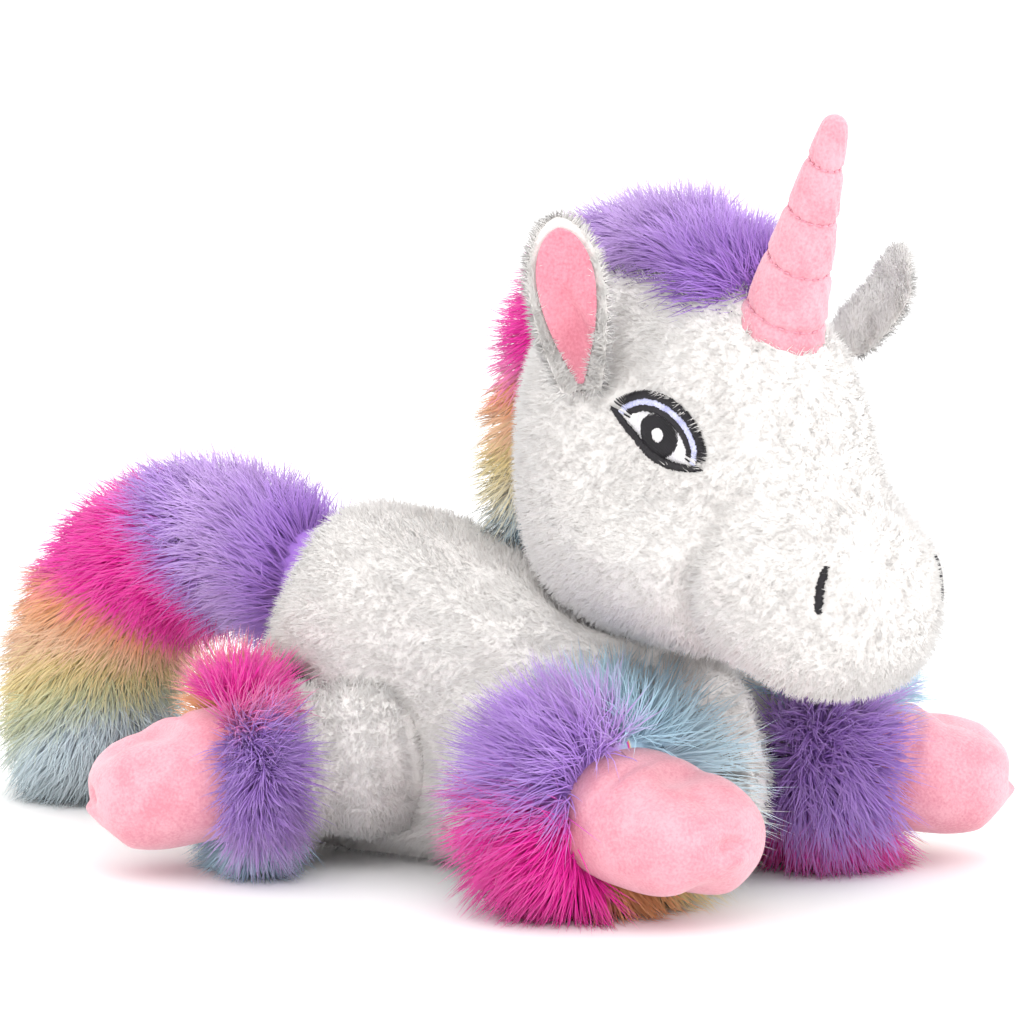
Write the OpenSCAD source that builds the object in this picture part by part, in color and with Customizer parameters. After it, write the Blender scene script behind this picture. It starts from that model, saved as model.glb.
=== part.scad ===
// Plush unicorn lying down with its head turned: sewn plush panels over fibre filling.
// X is across the toy (its own left is +X), -Y is the way the body points, Z is up.
// The origin is the middle of the flat patch of belly that rests on the floor.

/* [Fabric] */
// Thickness of the white plush, backing and short pile together
plush_t = 4; // [3:0.5:5]
// Thickness of the pink short-nap fabric on hooves, horn and ears
minky_t = 3; // [2:0.5:4]
// How far the embroidery stands on the fabric
thread_t = 1; // [0.6:0.1:1.4]
// Gap kept between pieces that move against each other
joint_gap = 0.5; // [0.4:0.1:0.8]

/* [Torso] */
// Half width of the torso at the hips
hip_half_w = 60; // [56:1:64]
// Height of the back above the floor at the rump
rump_h = 157; // [150:1:162]
// Height of the seam that joins the belly panel to the sides
belly_seam_z = 22; // [16:1:28]
// Where the seam around the rump panel lies
rump_seam_y = 98; // [90:1:104]
// Height of the flat neck seam that the head turns on
neck_z = 110.5; // [108:0.5:112]

/* [Head] */
// How far the head is turned to the toy's right at rest
head_turn = 18; // [10:1:24]
// Half width of the head across the cheeks
cheek_half_w = 75; // [70:1:78]
// Height of the top of the head
crown_z = 280; // [274:1:284]
// Length from the neck's axis to the nose
muzzle_reach = 160; // [150:1:164]
// Half width of the centre panel that runs from nose to nape
gusset_half_w = 20; // [16:1:24]
// Where the seam around the muzzle lies, forward of the neck's axis
muzzle_seam = 98; // [92:1:104]

/* [Horn] */
// Length of the horn from the forehead to its tip
horn_len = 108; // [96:1:112]
// Radius of the horn where it is sewn to the forehead
horn_base_r = 19; // [16:0.5:21]
// Radius of the horn's rounded tip
horn_tip_r = 5.5; // [4:0.5:7]
// Number of stitched grooves around the horn
horn_grooves = 4; // [3:1:5]
// Lean of the horn, forward from upright
horn_lean = 22; // [14:1:28]

/* [Mane] */
// Depth of the mane's long pile over the head
mane_pile = 28; // [20:1:32]
// Half width of the mane
mane_half_w = 25; // [20:1:30]

/* [Ears] */
// Length of an ear
ear_len = 74; // [64:1:80]
// Width of an ear
ear_w = 38; // [32:1:42]

/* [Legs] */
// Radius of the ball of filling at the root of each leg
root_r = 38; // [36:0.5:39]
// Radius of the leg where the cuff is sewn on
leg_r = 33; // [31:0.5:35]
// Radius of the long-pile cuff
cuff_r = 50; // [46:1:52]
// Height of the leg's axis above the floor
leg_z = 48; // [46:0.5:50]

/* [Tail] */
// Radius of the tail's long pile
tail_r = 48; // [42:1:50]
// Radius of the filling inside the tail
tail_core_r = 32; // [28:1:33]
// Radius of the tail's bend
tail_bend_r = 86; // [80:1:92]

/* [Hidden] */
$fn = 48;
big = 600;

white_plush = "#EDEAE6";
pink_minky = "#F0B8C6";
fibre = "#F7F5F0";

// Neck axis, and the places where legs and tail turn on the torso
neck_xy = [6, -94];
leg_front_right = [[-52, -58, leg_z], 256, 2];
leg_front_left = [[62, -86, leg_z], 304, 2];
leg_hind_right = [[-48, 38, leg_z + 4], 140, 5];
leg_hind_left = [[48, 38, leg_z + 4], 40, 5];
tail_root = [0, 98, 112];

// Lengths along a leg, from its pivot
cuff_start = 38;
cuff_end = 68;
hoof_start = 60;
hoof_end = 122;
hoof_r = 33;

// Stations are [place along the axis, half width, lowest z, highest z]
torso_stations = [
    [-100, 0, 60, 60], [-95, 22, 34, 86], [-84, 42, 14, 104], [-68, 51, 2, 122],
    [-45, 55, -3, 131], [-15, 54, -4, 136], [15, 54, -4, 144], [45, hip_half_w, -4, rump_h - 6],
    [72, hip_half_w - 2, -3, rump_h], [96, 45, 6, rump_h - 3], [110, 30, 30, rump_h - 18],
    [120, 0, 85, 85]];
head_stations = [
    [-muzzle_reach, 0, 146, 146], [-muzzle_reach + 5, 25, 122, 172],
    [-muzzle_reach + 20, 45, 102, 195], [-120, 51, 98, 209], [-100, 53, 101, 229],
    [-80, 58, 107, 252], [-58, 66, 111, 268], [-30, 73, 112, crown_z - 2],
    [0, cheek_half_w, 111.5, crown_z], [28, 70, 114, crown_z - 6], [52, 56, 124, crown_z - 20],
    [70, 34, 146, crown_z - 44], [80, 0, 190, 190]];
sides = 24;
squareness = 2.4;

// The head's own frame: places of the horn, mane, ears, eyes and nostrils
head_room_r = 88;
chin_split_z = 150;
horn_root = [0, -74, 250];
groove_tilt = 8;
thread_r = 0.9;
mane_front = 48;
mane_back = 170;
mane_reach = 110;
mane_low_z = 148;
ear_root = [71, -22, 229];
ear_tilt_right = 10;
ear_tilt_left = 44;
ear_turn = 35;
ear_pocket_r = 24;
eye_place = [-72, 212];
eye_tilt = 40;
eye_len = 42;
eye_h = 26;
iris_r = 9;
nostril_place = [-149, 150];
neck_angle = 40;
// Mouth of a leg's socket, a cone that leaves room for the leg to swing
swing_r1 = 24;
swing_r2 = 76;

// The tail leaves the rump at a slant, arches over and comes down to the floor
tail_neck_r = 20;
tail_neck_len = 36;
tail_slant = 20;
tail_bend_y = tail_root[1] + tail_neck_len * cos(tail_slant) + tail_bend_r * sin(tail_slant);
tail_bend_z = tail_root[2] + tail_neck_len * sin(tail_slant) - tail_bend_r * cos(tail_slant);

// ---- shared shapes -------------------------------------------------------------------------

function squircle(half_w, lo, hi) = [for (i = [0:sides - 1])
    let (c = cos(360 * i / sides), s = sin(360 * i / sides))
    [half_w * sign(c) * pow(abs(c), 2 / squareness),
     (hi + lo) / 2 + (hi - lo) / 2 * sign(s) * pow(abs(s), 2 / squareness)]];

// A closed loft along Y through squircle sections, pulled in by an even margin
module loft(stations, pull = 0) {
    last = len(stations) - 1;
    rings = last - 1;
    tips = [[0, stations[0][0] + pull, stations[0][2]],
            [0, stations[last][0] - pull, stations[last][2]]];
    ring_points = [for (k = [1:last - 1])
        let (s = stations[k],
             y = s[0] + pull * (k == 1 ? 0.8 : k == last - 1 ? -0.8 : 0))
        for (p = squircle(s[1] - pull, s[2] + pull, s[3] - pull)) [p[0], y, p[1]]];
    first = 1;
    end = first + rings * sides;
    nose = [for (i = [0:sides - 1]) [0, first + (i + 1) % sides, first + i]];
    walls = [for (k = [0:rings - 2]) for (i = [0:sides - 1])
        let (a = first + k * sides + i, b = first + k * sides + (i + 1) % sides)
        each [[a, b, b + sides], [a, b + sides, a + sides]]];
    back = [for (i = [0:sides - 1]) [end, end - sides + i, end - sides + (i + 1) % sides]];
    polyhedron(concat([tips[0]], ring_points, [tips[1]]), concat(nose, walls, back));
}

// A box from one corner to the other
module block(low, high) {
    translate(low) cube(high - low);
}

// Everything above a height
module above(z) {
    block([-big, -big, z], [big, big, big]);
}

// Everything on the head, in its own frame: -Y is the way it faces, Z starts at the floor
module on_head() {
    translate([neck_xy[0], neck_xy[1], 0]) rotate(-head_turn) children();
}

// A leg's frame: its pivot at the origin and the leg along +Z, with world-up along -X
module on_leg(leg) {
    translate(leg[0]) rotate(leg[1]) rotate([0, 90 + leg[2], 0]) children();
}

// ---- torso ---------------------------------------------------------------------------------

module torso_solid(pull = 0) {
    intersection() {
        loft(torso_stations, pull);
        above(pull);
    }
}

// Room for the roots of the legs and tail, and for the head on its neck seam
module torso_sockets() {
    for (leg = [leg_front_right, leg_front_left, leg_hind_right, leg_hind_left]) {
        translate(leg[0]) sphere(r = root_r + joint_gap);
        on_leg(leg) cylinder(h = cuff_end, r1 = swing_r1, r2 = swing_r2);
    }
    translate(tail_root) sphere(r = tail_core_r + joint_gap);
    translate([neck_xy[0], neck_xy[1], neck_z]) cylinder(r = head_room_r, h = rump_h);
}

module torso_shell() {
    difference() {
        torso_solid();
        torso_solid(plush_t);
        torso_sockets();
    }
}

module body_side(low_x, high_x) {
    color(white_plush) intersection() {
        torso_shell();
        block([low_x, -big, belly_seam_z], [high_x, rump_seam_y, big]);
    }
}

module body_side_left() { body_side(0, big); }

module body_side_right() { body_side(-big, 0); }

module rump_panel() {
    color(white_plush) intersection() {
        torso_shell();
        block([-big, rump_seam_y, belly_seam_z], [big, big, big]);
    }
}

module belly_panel() {
    color(white_plush) intersection() {
        torso_shell();
        block([-big, -big, -big], [big, big, belly_seam_z]);
    }
}

module body_filling() {
    color(fibre) difference() {
        torso_solid(plush_t);
        torso_sockets();
    }
}

// ---- head ----------------------------------------------------------------------------------

// The horn's frame: its root at the origin and the horn along +Z
module on_horn() {
    translate(horn_root) rotate([horn_lean, 0, 0]) children();
}

// Seats for the horn, and room for the ears to flop in
module head_pockets() {
    on_horn() cylinder(r = horn_base_r, h = horn_len);
    for (side = [-1, 1]) translate([side * ear_root[0], ear_root[1], ear_root[2] + 8])
        sphere(r = ear_pocket_r);
}

module head_shell() {
    difference() {
        loft(head_stations);
        loft(head_stations, plush_t);
        head_pockets();
    }
}

// A part of the head's fabric between two corners of its own frame
module head_panel(low, high) {
    color(white_plush) on_head() intersection() {
        head_shell();
        block(low, high);
    }
}

module head_side_left() {
    head_panel([gusset_half_w, -muzzle_seam, 0], [big, big, big]);
}

module head_side_right() {
    head_panel([-big, -muzzle_seam, 0], [-gusset_half_w, big, big]);
}

module head_centre_panel() {
    head_panel([-gusset_half_w, -muzzle_seam, chin_split_z], [gusset_half_w, big, big]);
}

module chin_panel() {
    head_panel([-gusset_half_w, -muzzle_seam, 0], [gusset_half_w, big, chin_split_z]);
}

module muzzle_panel() { head_panel([-big, -big, 0], [big, -muzzle_seam, big]); }

module head_filling() {
    color(fibre) on_head() difference() {
        loft(head_stations, plush_t);
        head_pockets();
    }
}

// Radius of the horn at a height above its root
function horn_r(h) = horn_base_r + (horn_tip_r - horn_base_r) * h / (horn_len - horn_tip_r);

// The horn with its rounded tip, pulled in by an even margin
module horn_solid(pull = 0) {
    tip = horn_len - horn_tip_r;
    rotate_extrude() polygon(concat(
        [[0, 0], [horn_base_r - pull, 0]],
        [for (a = [10:16:90]) [(horn_tip_r - pull) * cos(a), tip + (horn_tip_r - pull) * sin(a)]]));
}

module horn_rings(r) {
    for (k = [1:horn_grooves])
        let (h = horn_len * (k - 0.35) / (horn_grooves + 0.6))
            translate([0, 0, h]) rotate([groove_tilt, 0, 0]) rotate_extrude()
                translate([horn_r(h) - thread_r * 0.4, 0]) circle(r = r, $fn = 16);
}

module horn_cover() {
    color(pink_minky) on_head() on_horn() difference() {
        horn_solid();
        horn_solid(minky_t);
        horn_rings(thread_r + 0.2);
    }
}

module horn_filling() {
    color(fibre) on_head() on_horn() horn_solid(minky_t);
}

module horn_stitching() {
    color("#E79AAC") on_head() on_horn() horn_rings(thread_r);
}

// Side view of the mane's crest, from behind the horn over the crown to the withers
module mane_outline() {
    polygon(concat(
        [for (a = [mane_front:10:mane_back])
            [-mane_reach * cos(a), 198 + (crown_z - 198 + mane_pile) * sin(a)]],
        [[mane_reach - 4, mane_low_z], [mane_reach - 28, mane_low_z]],
        [for (a = [mane_back:-10:mane_front]) [-52 * cos(a), 198 + 50 * sin(a)]]));
}

module mane() {
    color("#B492D3") on_head() difference() {
        rotate([90, 0, 90]) linear_extrude(2 * mane_half_w, center = true) mane_outline();
        loft(head_stations);
        on_horn() cylinder(r = horn_base_r + joint_gap, h = horn_len);
    }
}

// A layer of thread on the head's surface, cut by a flat outline laid against one side
module embroidered(side, place, tilt) {
    on_head() intersection() {
        difference() {
            loft(head_stations, -thread_t);
            loft(head_stations);
        }
        translate([0, place[0], place[1]]) rotate([0, 90 * side, 0])
            translate([0, 0, 20]) linear_extrude(80) rotate(side * tilt) children();
    }
}

// An almond: two arcs that meet at the corners
module almond(length, height) {
    r = (pow(length / 2, 2) + pow(height / 2, 2)) / height;
    intersection() {
        translate([r - height / 2, 0]) circle(r = r);
        translate([height / 2 - r, 0]) circle(r = r);
    }
}

module eye_outline(side) {
    color("#15111A") embroidered(side, eye_place, eye_tilt) difference() {
        almond(eye_len, eye_h);
        almond(eye_len - 9, eye_h - 6);
    }
}

module eye_white(side) {
    color("white") embroidered(side, eye_place, eye_tilt) difference() {
        almond(eye_len - 9, eye_h - 6);
        circle(r = iris_r);
    }
}

module eye_iris(side) {
    color("#15111A") embroidered(side, eye_place, eye_tilt) circle(r = iris_r);
}

module eye_outline_right() { eye_outline(-1); }

module eye_white_right() { eye_white(-1); }

module eye_iris_right() { eye_iris(-1); }

module eye_outline_left() { eye_outline(1); }

module eye_white_left() { eye_white(1); }

module eye_iris_left() { eye_iris(1); }

module nostril(side) {
    color("#15111A") embroidered(side, nostril_place, 0) square([22, 5], center = true);
}

module nostril_right() { nostril(-1); }

module nostril_left() { nostril(1); }

// ---- ears ----------------------------------------------------------------------------------

// An ear's frame: its root at the origin, the ear along +Z, its opening towards -Y
module on_ear(side, tilt) {
    on_head() translate([side * ear_root[0], ear_root[1], ear_root[2]])
        rotate([0, side * tilt, 0]) rotate(side * ear_turn) children();
}

module ear_leaf(inset) {
    offset(r = -inset) hull() {
        translate([0, 12]) circle(r = ear_w * 0.28, $fn = 32);
        translate([0, ear_len * 0.42]) circle(r = ear_w / 2, $fn = 32);
        translate([0, ear_len - 5]) circle(r = 4.5, $fn = 32);
    }
}

module ear_back(side, tilt) {
    color(white_plush) on_ear(side, tilt) rotate([90, 0, 0])
        translate([0, 0, -plush_t]) linear_extrude(plush_t) ear_leaf(0);
}

module ear_lining(side, tilt) {
    color(pink_minky) on_ear(side, tilt) rotate([90, 0, 0]) linear_extrude(minky_t) ear_leaf(5);
}

module ear_back_right() { ear_back(-1, ear_tilt_right); }

module ear_lining_right() { ear_lining(-1, ear_tilt_right); }

module ear_back_left() { ear_back(1, ear_tilt_left); }

module ear_lining_left() { ear_lining(1, ear_tilt_left); }

// ---- legs ----------------------------------------------------------------------------------

// Outline of the leg's cover: the closed ball at the root, the narrow neck and the flare
module leg_outline(pull) {
    r = root_r - pull;
    polygon(concat([for (a = [-90:10:neck_angle]) [r * cos(a), r * sin(a)]],
        [[leg_r + 2 - pull, cuff_start], [0, cuff_start]]));
}

module leg_cover(leg) {
    color(white_plush) on_leg(leg) rotate_extrude() difference() {
        leg_outline(0);
        leg_outline(plush_t);
        translate([0, cuff_start - 1]) square([leg_r + 2 - plush_t, 2]);
    }
}

module cuff(leg, tint) {
    color(tint) intersection() {
        on_leg(leg) rotate_extrude()
            polygon([[leg_r, cuff_start], [cuff_r - 8, cuff_start], [cuff_r, cuff_start + 8],
                     [cuff_r, cuff_end - 8], [cuff_r - 8, cuff_end], [leg_r, cuff_end]]);
        above(0);
    }
}

// Outline of the hoof, from inside the cuff to the rounded toe
module hoof_outline(pull) {
    r = hoof_r - pull;
    polygon(concat([[0, hoof_start], [r, hoof_start]],
        [for (a = [0:10:90]) [r * cos(a), hoof_end - hoof_r + r * sin(a)]]));
}

module hoof(leg) {
    color(pink_minky) on_leg(leg) rotate_extrude() difference() {
        hoof_outline(0);
        hoof_outline(minky_t);
    }
}

module leg_filling(leg) {
    color(fibre) on_leg(leg) rotate_extrude() union() {
        leg_outline(plush_t);
        translate([0, cuff_start]) square([leg_r, hoof_start - cuff_start]);
        hoof_outline(minky_t);
    }
}

module front_leg_cover_right() { leg_cover(leg_front_right); }

module front_cuff_right() { cuff(leg_front_right, "#A275BF"); }

module front_hoof_right() { hoof(leg_front_right); }

module front_filling_right() { leg_filling(leg_front_right); }

module front_leg_cover_left() { leg_cover(leg_front_left); }

module front_cuff_left() { cuff(leg_front_left, "#B5D3E4"); }

module front_hoof_left() { hoof(leg_front_left); }

module front_filling_left() { leg_filling(leg_front_left); }

module hind_leg_cover_right() { leg_cover(leg_hind_right); }

module hind_cuff_right() { cuff(leg_hind_right, "#FF1090"); }

module hind_hoof_right() { hoof(leg_hind_right); }

module hind_filling_right() { leg_filling(leg_hind_right); }

module hind_leg_cover_left() { leg_cover(leg_hind_left); }

module hind_cuff_left() { cuff(leg_hind_left, "#FF8C42"); }

module hind_hoof_left() { hoof(leg_hind_left); }

module hind_filling_left() { leg_filling(leg_hind_left); }

// ---- tail ----------------------------------------------------------------------------------

// The tail from its arch down to the floor, as a solid of radius r
module tail_arch(r, floor_gap = 0) {
    translate([0, tail_bend_y, tail_bend_z]) rotate([90, 0, 90])
        rotate_extrude(angle = 90 + tail_slant) translate([tail_bend_r, 0]) circle(r = r);
    translate([0, tail_bend_y + tail_bend_r, floor_gap]) cylinder(r = r, h = tail_bend_z - floor_gap);
}

module tail_filling() {
    color(fibre) union() {
        translate(tail_root) sphere(r = tail_core_r);
        translate(tail_root) rotate([tail_slant - 90, 0, 0])
            cylinder(r = tail_neck_r - 1, h = tail_neck_len + 4);
        tail_arch(tail_neck_r, tail_neck_r);
    }
}

module tail_fur() {
    color("#F81EA7") difference() {
        tail_arch(tail_r);
        tail_arch(tail_neck_r, tail_neck_r);
    }
}

body_side_left();
body_side_right();
rump_panel();
belly_panel();
body_filling();
head_side_left();
head_side_right();
head_centre_panel();
muzzle_panel();
chin_panel();
head_filling();
horn_cover();
horn_filling();
horn_stitching();
mane();
eye_outline_right();
eye_white_right();
eye_iris_right();
eye_outline_left();
eye_white_left();
eye_iris_left();
nostril_right();
nostril_left();
ear_back_right();
ear_lining_right();
ear_back_left();
ear_lining_left();
front_leg_cover_right();
front_cuff_right();
front_hoof_right();
front_filling_right();
front_leg_cover_left();
front_cuff_left();
front_hoof_left();
front_filling_left();
hind_leg_cover_right();
hind_cuff_right();
hind_hoof_right();
hind_filling_right();
hind_leg_cover_left();
hind_cuff_left();
hind_hoof_left();
hind_filling_left();
tail_fur();
tail_filling();
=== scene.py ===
"""Looks of a plush unicorn lying down: white plush over filling, dyed long pile, pink minky, embroidery.

Sizes are in millimetres in each part's own frame, and become metres when a piece is finished.
"""

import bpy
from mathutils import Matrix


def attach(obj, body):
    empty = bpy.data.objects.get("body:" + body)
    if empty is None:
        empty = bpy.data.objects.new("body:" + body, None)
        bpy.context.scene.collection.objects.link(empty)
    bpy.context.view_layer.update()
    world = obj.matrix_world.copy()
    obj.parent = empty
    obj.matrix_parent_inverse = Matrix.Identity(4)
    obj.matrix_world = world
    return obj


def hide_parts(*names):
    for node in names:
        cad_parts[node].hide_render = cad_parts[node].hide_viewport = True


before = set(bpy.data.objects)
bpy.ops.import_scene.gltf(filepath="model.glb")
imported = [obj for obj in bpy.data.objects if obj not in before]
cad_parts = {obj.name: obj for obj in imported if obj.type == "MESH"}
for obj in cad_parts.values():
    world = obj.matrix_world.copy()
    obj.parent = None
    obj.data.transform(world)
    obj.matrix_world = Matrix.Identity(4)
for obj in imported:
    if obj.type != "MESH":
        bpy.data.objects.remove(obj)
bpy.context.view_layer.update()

import logging
from collections.abc import Callable, Sequence
from dataclasses import dataclass, field
from enum import Enum
from math import cos, pi, radians, sin

import bmesh
import bpy
import numpy as np
from mathutils import Matrix, Vector
from mathutils.bvhtree import BVHTree

MM = 0.001
STRAND_MAP = "OFBake"
STRAND_SIDES = 3
THREAD_SIDES = 5
FLOOR_CLEARANCE = 0.3
UP = np.array([0.0, 0.0, 1.0])
log = logging.getLogger("plush_unicorn")

Points = np.ndarray
Field = Callable[[Points], Points]


class Side(Enum):
    """The toy's own right and left."""

    RIGHT = -1
    LEFT = 1

    @property
    def word(self) -> str:
        """The side's name in lower case."""
        return self.name.lower()


class Slot(Enum):
    """Material slots of the record."""

    PLUSH = "white_plush"
    MINKY = "pink_minky"
    RAINBOW = "rainbow_fur"
    WHITE_THREAD = "white_thread"
    PINK_THREAD = "pink_thread"
    BLACK_THREAD = "black_thread"


# ---- materials -----------------------------------------------------------------------------


def linear(colour: str) -> tuple[float, float, float, float]:
    """Turn an sRGB hex colour into linear light.

    Args:
        colour: A string such as "#EFBDC6".

    Returns:
        Red, green, blue and an alpha of 1.
    """
    parts = [int(colour[i : i + 2], 16) / 255 for i in (1, 3, 5)]
    light = [c / 12.92 if c <= 0.04045 else ((c + 0.055) / 1.055) ** 2.4 for c in parts]
    return (light[0], light[1], light[2], 1.0)


def add_node(
    tree: bpy.types.NodeTree, kind: str, settings: dict | None = None, inputs: dict | None = None
) -> bpy.types.Node:
    """Add a node with its settings, and link or fill its inputs.

    Args:
        tree: The material's node tree.
        kind: The node's Blender type.
        settings: Attributes of the node itself.
        inputs: Values, or sockets to link, by input name or number.

    Returns:
        The new node.
    """
    node = tree.nodes.new(kind)
    for name, value in (settings or {}).items():
        setattr(node, name, value)
    for name, value in (inputs or {}).items():
        if isinstance(value, bpy.types.NodeSocket):
            tree.links.new(value, node.inputs[name])
        else:
            node.inputs[name].default_value = value
    return node


def set_stops(ramp: bpy.types.Node, stops: Sequence[tuple[float, str]]) -> None:
    """Give a colour ramp its stops.

    Args:
        ramp: A colour ramp node.
        stops: Places from 0 to 1 with sRGB hex colours.
    """
    elements = ramp.color_ramp.elements
    for place, colour in stops[1:-1]:
        elements.new(place).color = linear(colour)
    elements[0].position, elements[0].color = stops[0][0], linear(stops[0][1])
    elements[-1].position, elements[-1].color = stops[-1][0], linear(stops[-1][1])


@dataclass(frozen=True)
class Finish:
    """What every fibre surface shares: its name, roughness and the pale sheen of fibre tips."""

    name: str
    roughness: float = 0.8
    sheen: float = 0.25

    def start(self) -> tuple[bpy.types.Material, bpy.types.NodeTree]:
        """Make an empty node material with this finish's name."""
        material = bpy.data.materials.new(self.name)
        material.use_nodes = True
        material.node_tree.nodes.clear()
        return material, material.node_tree

    def close(self, tree: bpy.types.NodeTree, inputs: dict) -> None:
        """Add the shader and the output.

        Args:
            tree: The material's node tree.
            inputs: Extra inputs of the shader, such as its colour.
        """
        shared = {"Roughness": self.roughness, "Sheen Weight": self.sheen, "Sheen Roughness": 0.5}
        shader = add_node(tree, "ShaderNodeBsdfPrincipled", {}, shared | inputs)
        add_node(tree, "ShaderNodeOutputMaterial", {}, {"Surface": shader.outputs["BSDF"]})


@dataclass(frozen=True)
class DyedPile(Finish):
    """Polyester pile, extruded and dyed: colour runs across the dye, and each fibre carries painted shade
    towards its root.

    The strand map's first coordinate is the place in the dye and its second runs from root to tip.
    """

    dye: tuple[tuple[float, str], ...] = ((0.0, "#E6E0DB"), (1.0, "#F6F3EF"))
    # The colour and strength of the painted shade at each fibre's root
    root: str = "#8C8480"
    root_shade_share: float = 0.75
    tip: str = "#FFFFFF"
    tip_share: float = 0.1

    def material(self) -> bpy.types.Material:
        """Build the node material."""
        material, tree = self.start()
        uv = add_node(tree, "ShaderNodeUVMap", {"uv_map": STRAND_MAP})
        axes = add_node(tree, "ShaderNodeSeparateXYZ", {}, {0: uv.outputs[0]})
        dye = add_node(tree, "ShaderNodeValToRGB", {}, {0: axes.outputs[0]})
        set_stops(dye, self.dye)
        # Painted shade darkens the roots, where they sit in the shade of the pile, and tips are frayed and
        # paler
        depth = add_node(tree, "ShaderNodeMapRange", {"interpolation_type": "SMOOTHSTEP"},
                         {0: axes.outputs[1], 1: 0.0, 2: 0.6, 3: self.root_shade_share, 4: 0.0})
        shaded = add_node(tree, "ShaderNodeMix", {"data_type": "RGBA", "blend_type": "MULTIPLY"},
                          {0: depth.outputs[0], 6: dye.outputs[0], 7: linear(self.root)})
        ends = add_node(tree, "ShaderNodeMapRange", {},
                        {0: axes.outputs[1], 1: 0.6, 2: 1.0, 3: 0.0, 4: self.tip_share})
        frayed = add_node(tree, "ShaderNodeMix", {"data_type": "RGBA"},
                          {0: ends.outputs[0], 6: shaded.outputs[2], 7: linear(self.tip)})
        self.close(tree, {"Base Color": frayed.outputs[2]})
        return material


@dataclass(frozen=True)
class SewnFabric(Finish):
    """Knitted pile fabric seen as a surface: clouded colour, and a nap that stands up in tiny tufts, painted
    paler on their tops with painted shade between them.
    """

    pale_and_lit: str = "#F1EDE9"
    deep_and_shaded: str = "#D9D1CC"
    cloud_mm: float = 22.0
    nap_mm: float = 1.6
    nap_depth_mm: float = 0.5

    def material(self) -> bpy.types.Material:
        """Build the node material."""
        material, tree = self.start()
        place = add_node(tree, "ShaderNodeTexCoord").outputs["Object"]
        cloud = add_node(tree, "ShaderNodeTexNoise", {},
                         {"Vector": place, "Scale": 1 / (self.cloud_mm * MM), "Detail": 3.0})
        nap = add_node(tree, "ShaderNodeTexNoise", {},
                       {"Vector": place, "Scale": 1 / (self.nap_mm * MM), "Detail": 2.0})
        # The nap's height tints the colour as well as the bump: painted light on the raised tufts, painted
        # shade between them
        both = add_node(tree, "ShaderNodeMath", {"operation": "ADD"},
                        {0: cloud.outputs[0], 1: nap.outputs[0]})
        shade = add_node(tree, "ShaderNodeMapRange", {}, {0: both.outputs[0], 1: 0.75, 2: 1.25})
        colour = add_node(tree, "ShaderNodeValToRGB", {}, {0: shade.outputs[0]})
        set_stops(colour, ((0.0, self.deep_and_shaded), (1.0, self.pale_and_lit)))
        tufts = add_node(tree, "ShaderNodeBump", {},
                         {"Strength": 0.8, "Distance": self.nap_depth_mm * MM, "Height": nap.outputs[0]})
        self.close(tree, {"Base Color": colour.outputs[0], "Normal": tufts.outputs[0]})
        return material


# Cut-pile polyester plush, left undyed: soft white with warm shade between the tufts
WHITE_PILE = DyedPile("polyester_plush_cut_pile_white", 0.9, 0.3, root="#EDE6E2", root_shade_share=0.4,
                      dye=((0.0, "#E9E5E2"), (0.5, "#EDEAE7"), (1.0, "#F2F0EE")))
WHITE_FABRIC = SewnFabric("polyester_plush_knitted_white", 0.95, 0.2, "#EDEAE7", "#E6E1DE")
# Minky, a short sheared knit dyed pink: clouded at random, with painted light on the raised nap and painted
# shade between its tufts
MINKY = SewnFabric("polyester_minky_sheared_pink", 0.8, 0.4, "#E7A6B2", "#D68796", 16.0, 1.3, 0.45)
LINING = SewnFabric("polyester_minky_sheared_rose", 0.8, 0.4, "#E396A5", "#CF7789", 16.0, 1.3, 0.45)
# Rayon embroidery thread, twisted and dyed: a satin gloss along each thread
BLACK_THREAD = SewnFabric("rayon_thread_twisted_black", 0.45, 0.02, "#17111B", "#060408", 6.0, 0.8, 0.05)
WHITE_THREAD = SewnFabric("rayon_thread_twisted_white", 0.4, 0.1, "#F3F1EE", "#D4D2D8", 6.0, 0.8, 0.05)
LILAC_THREAD = SewnFabric("rayon_thread_twisted_lilac", 0.4, 0.1, "#D6D8F0", "#A9ABD8", 6.0, 0.8, 0.05)
PINK_THREAD = SewnFabric("polyester_thread_twisted_pink", 0.5, 0.1, "#E7A3B4", "#CF8599", 6.0, 0.8, 0.05)

PURPLE, MAUVE, VIOLET = "#B78AE2", "#CFABEE", "#A574D6"
HOT_PINK, ROSE = "#FF1BAE", "#FF8AC4"
ORANGE, PEACH = "#FFB078", "#FFD0AC"
YELLOW, CREAM = "#F8E09A", "#F7EDCC"
SKY, MIST = "#BCE2F6", "#DBEDF5"


# ---- shapes --------------------------------------------------------------------------------


def smooth_track(keys: Points, values: Points, at: Points) -> Points:
    """Follow values smoothly between keys.

    Args:
        keys: Rising places of the given values.
        values: One row of values for each key.
        at: Places to read.

    Returns:
        One row of values for each place in at.
    """
    slopes = np.gradient(values, keys, axis=0)
    k = np.clip(np.searchsorted(keys, at, side="right") - 1, 0, len(keys) - 2)
    span = (keys[k + 1] - keys[k])[:, None]
    t = ((at - keys[k])[:, None] / span).clip(0, 1)
    return (
        (2 * t**3 - 3 * t**2 + 1) * values[k]
        + (t**3 - 2 * t**2 + t) * span * slopes[k]
        + (3 * t**2 - 2 * t**3) * values[k + 1]
        + (t**3 - t**2) * span * slopes[k + 1]
    )


def unit(vectors: Points) -> Points:
    """Vectors brought to length 1."""
    return vectors / np.linalg.norm(vectors, axis=-1, keepdims=True).clip(1e-9)


def moved(points: Points, place: Matrix) -> Points:
    """Points carried by a placement matrix."""
    m = np.array(place)
    return points @ m[:3, :3].T + m[:3, 3]


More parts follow.
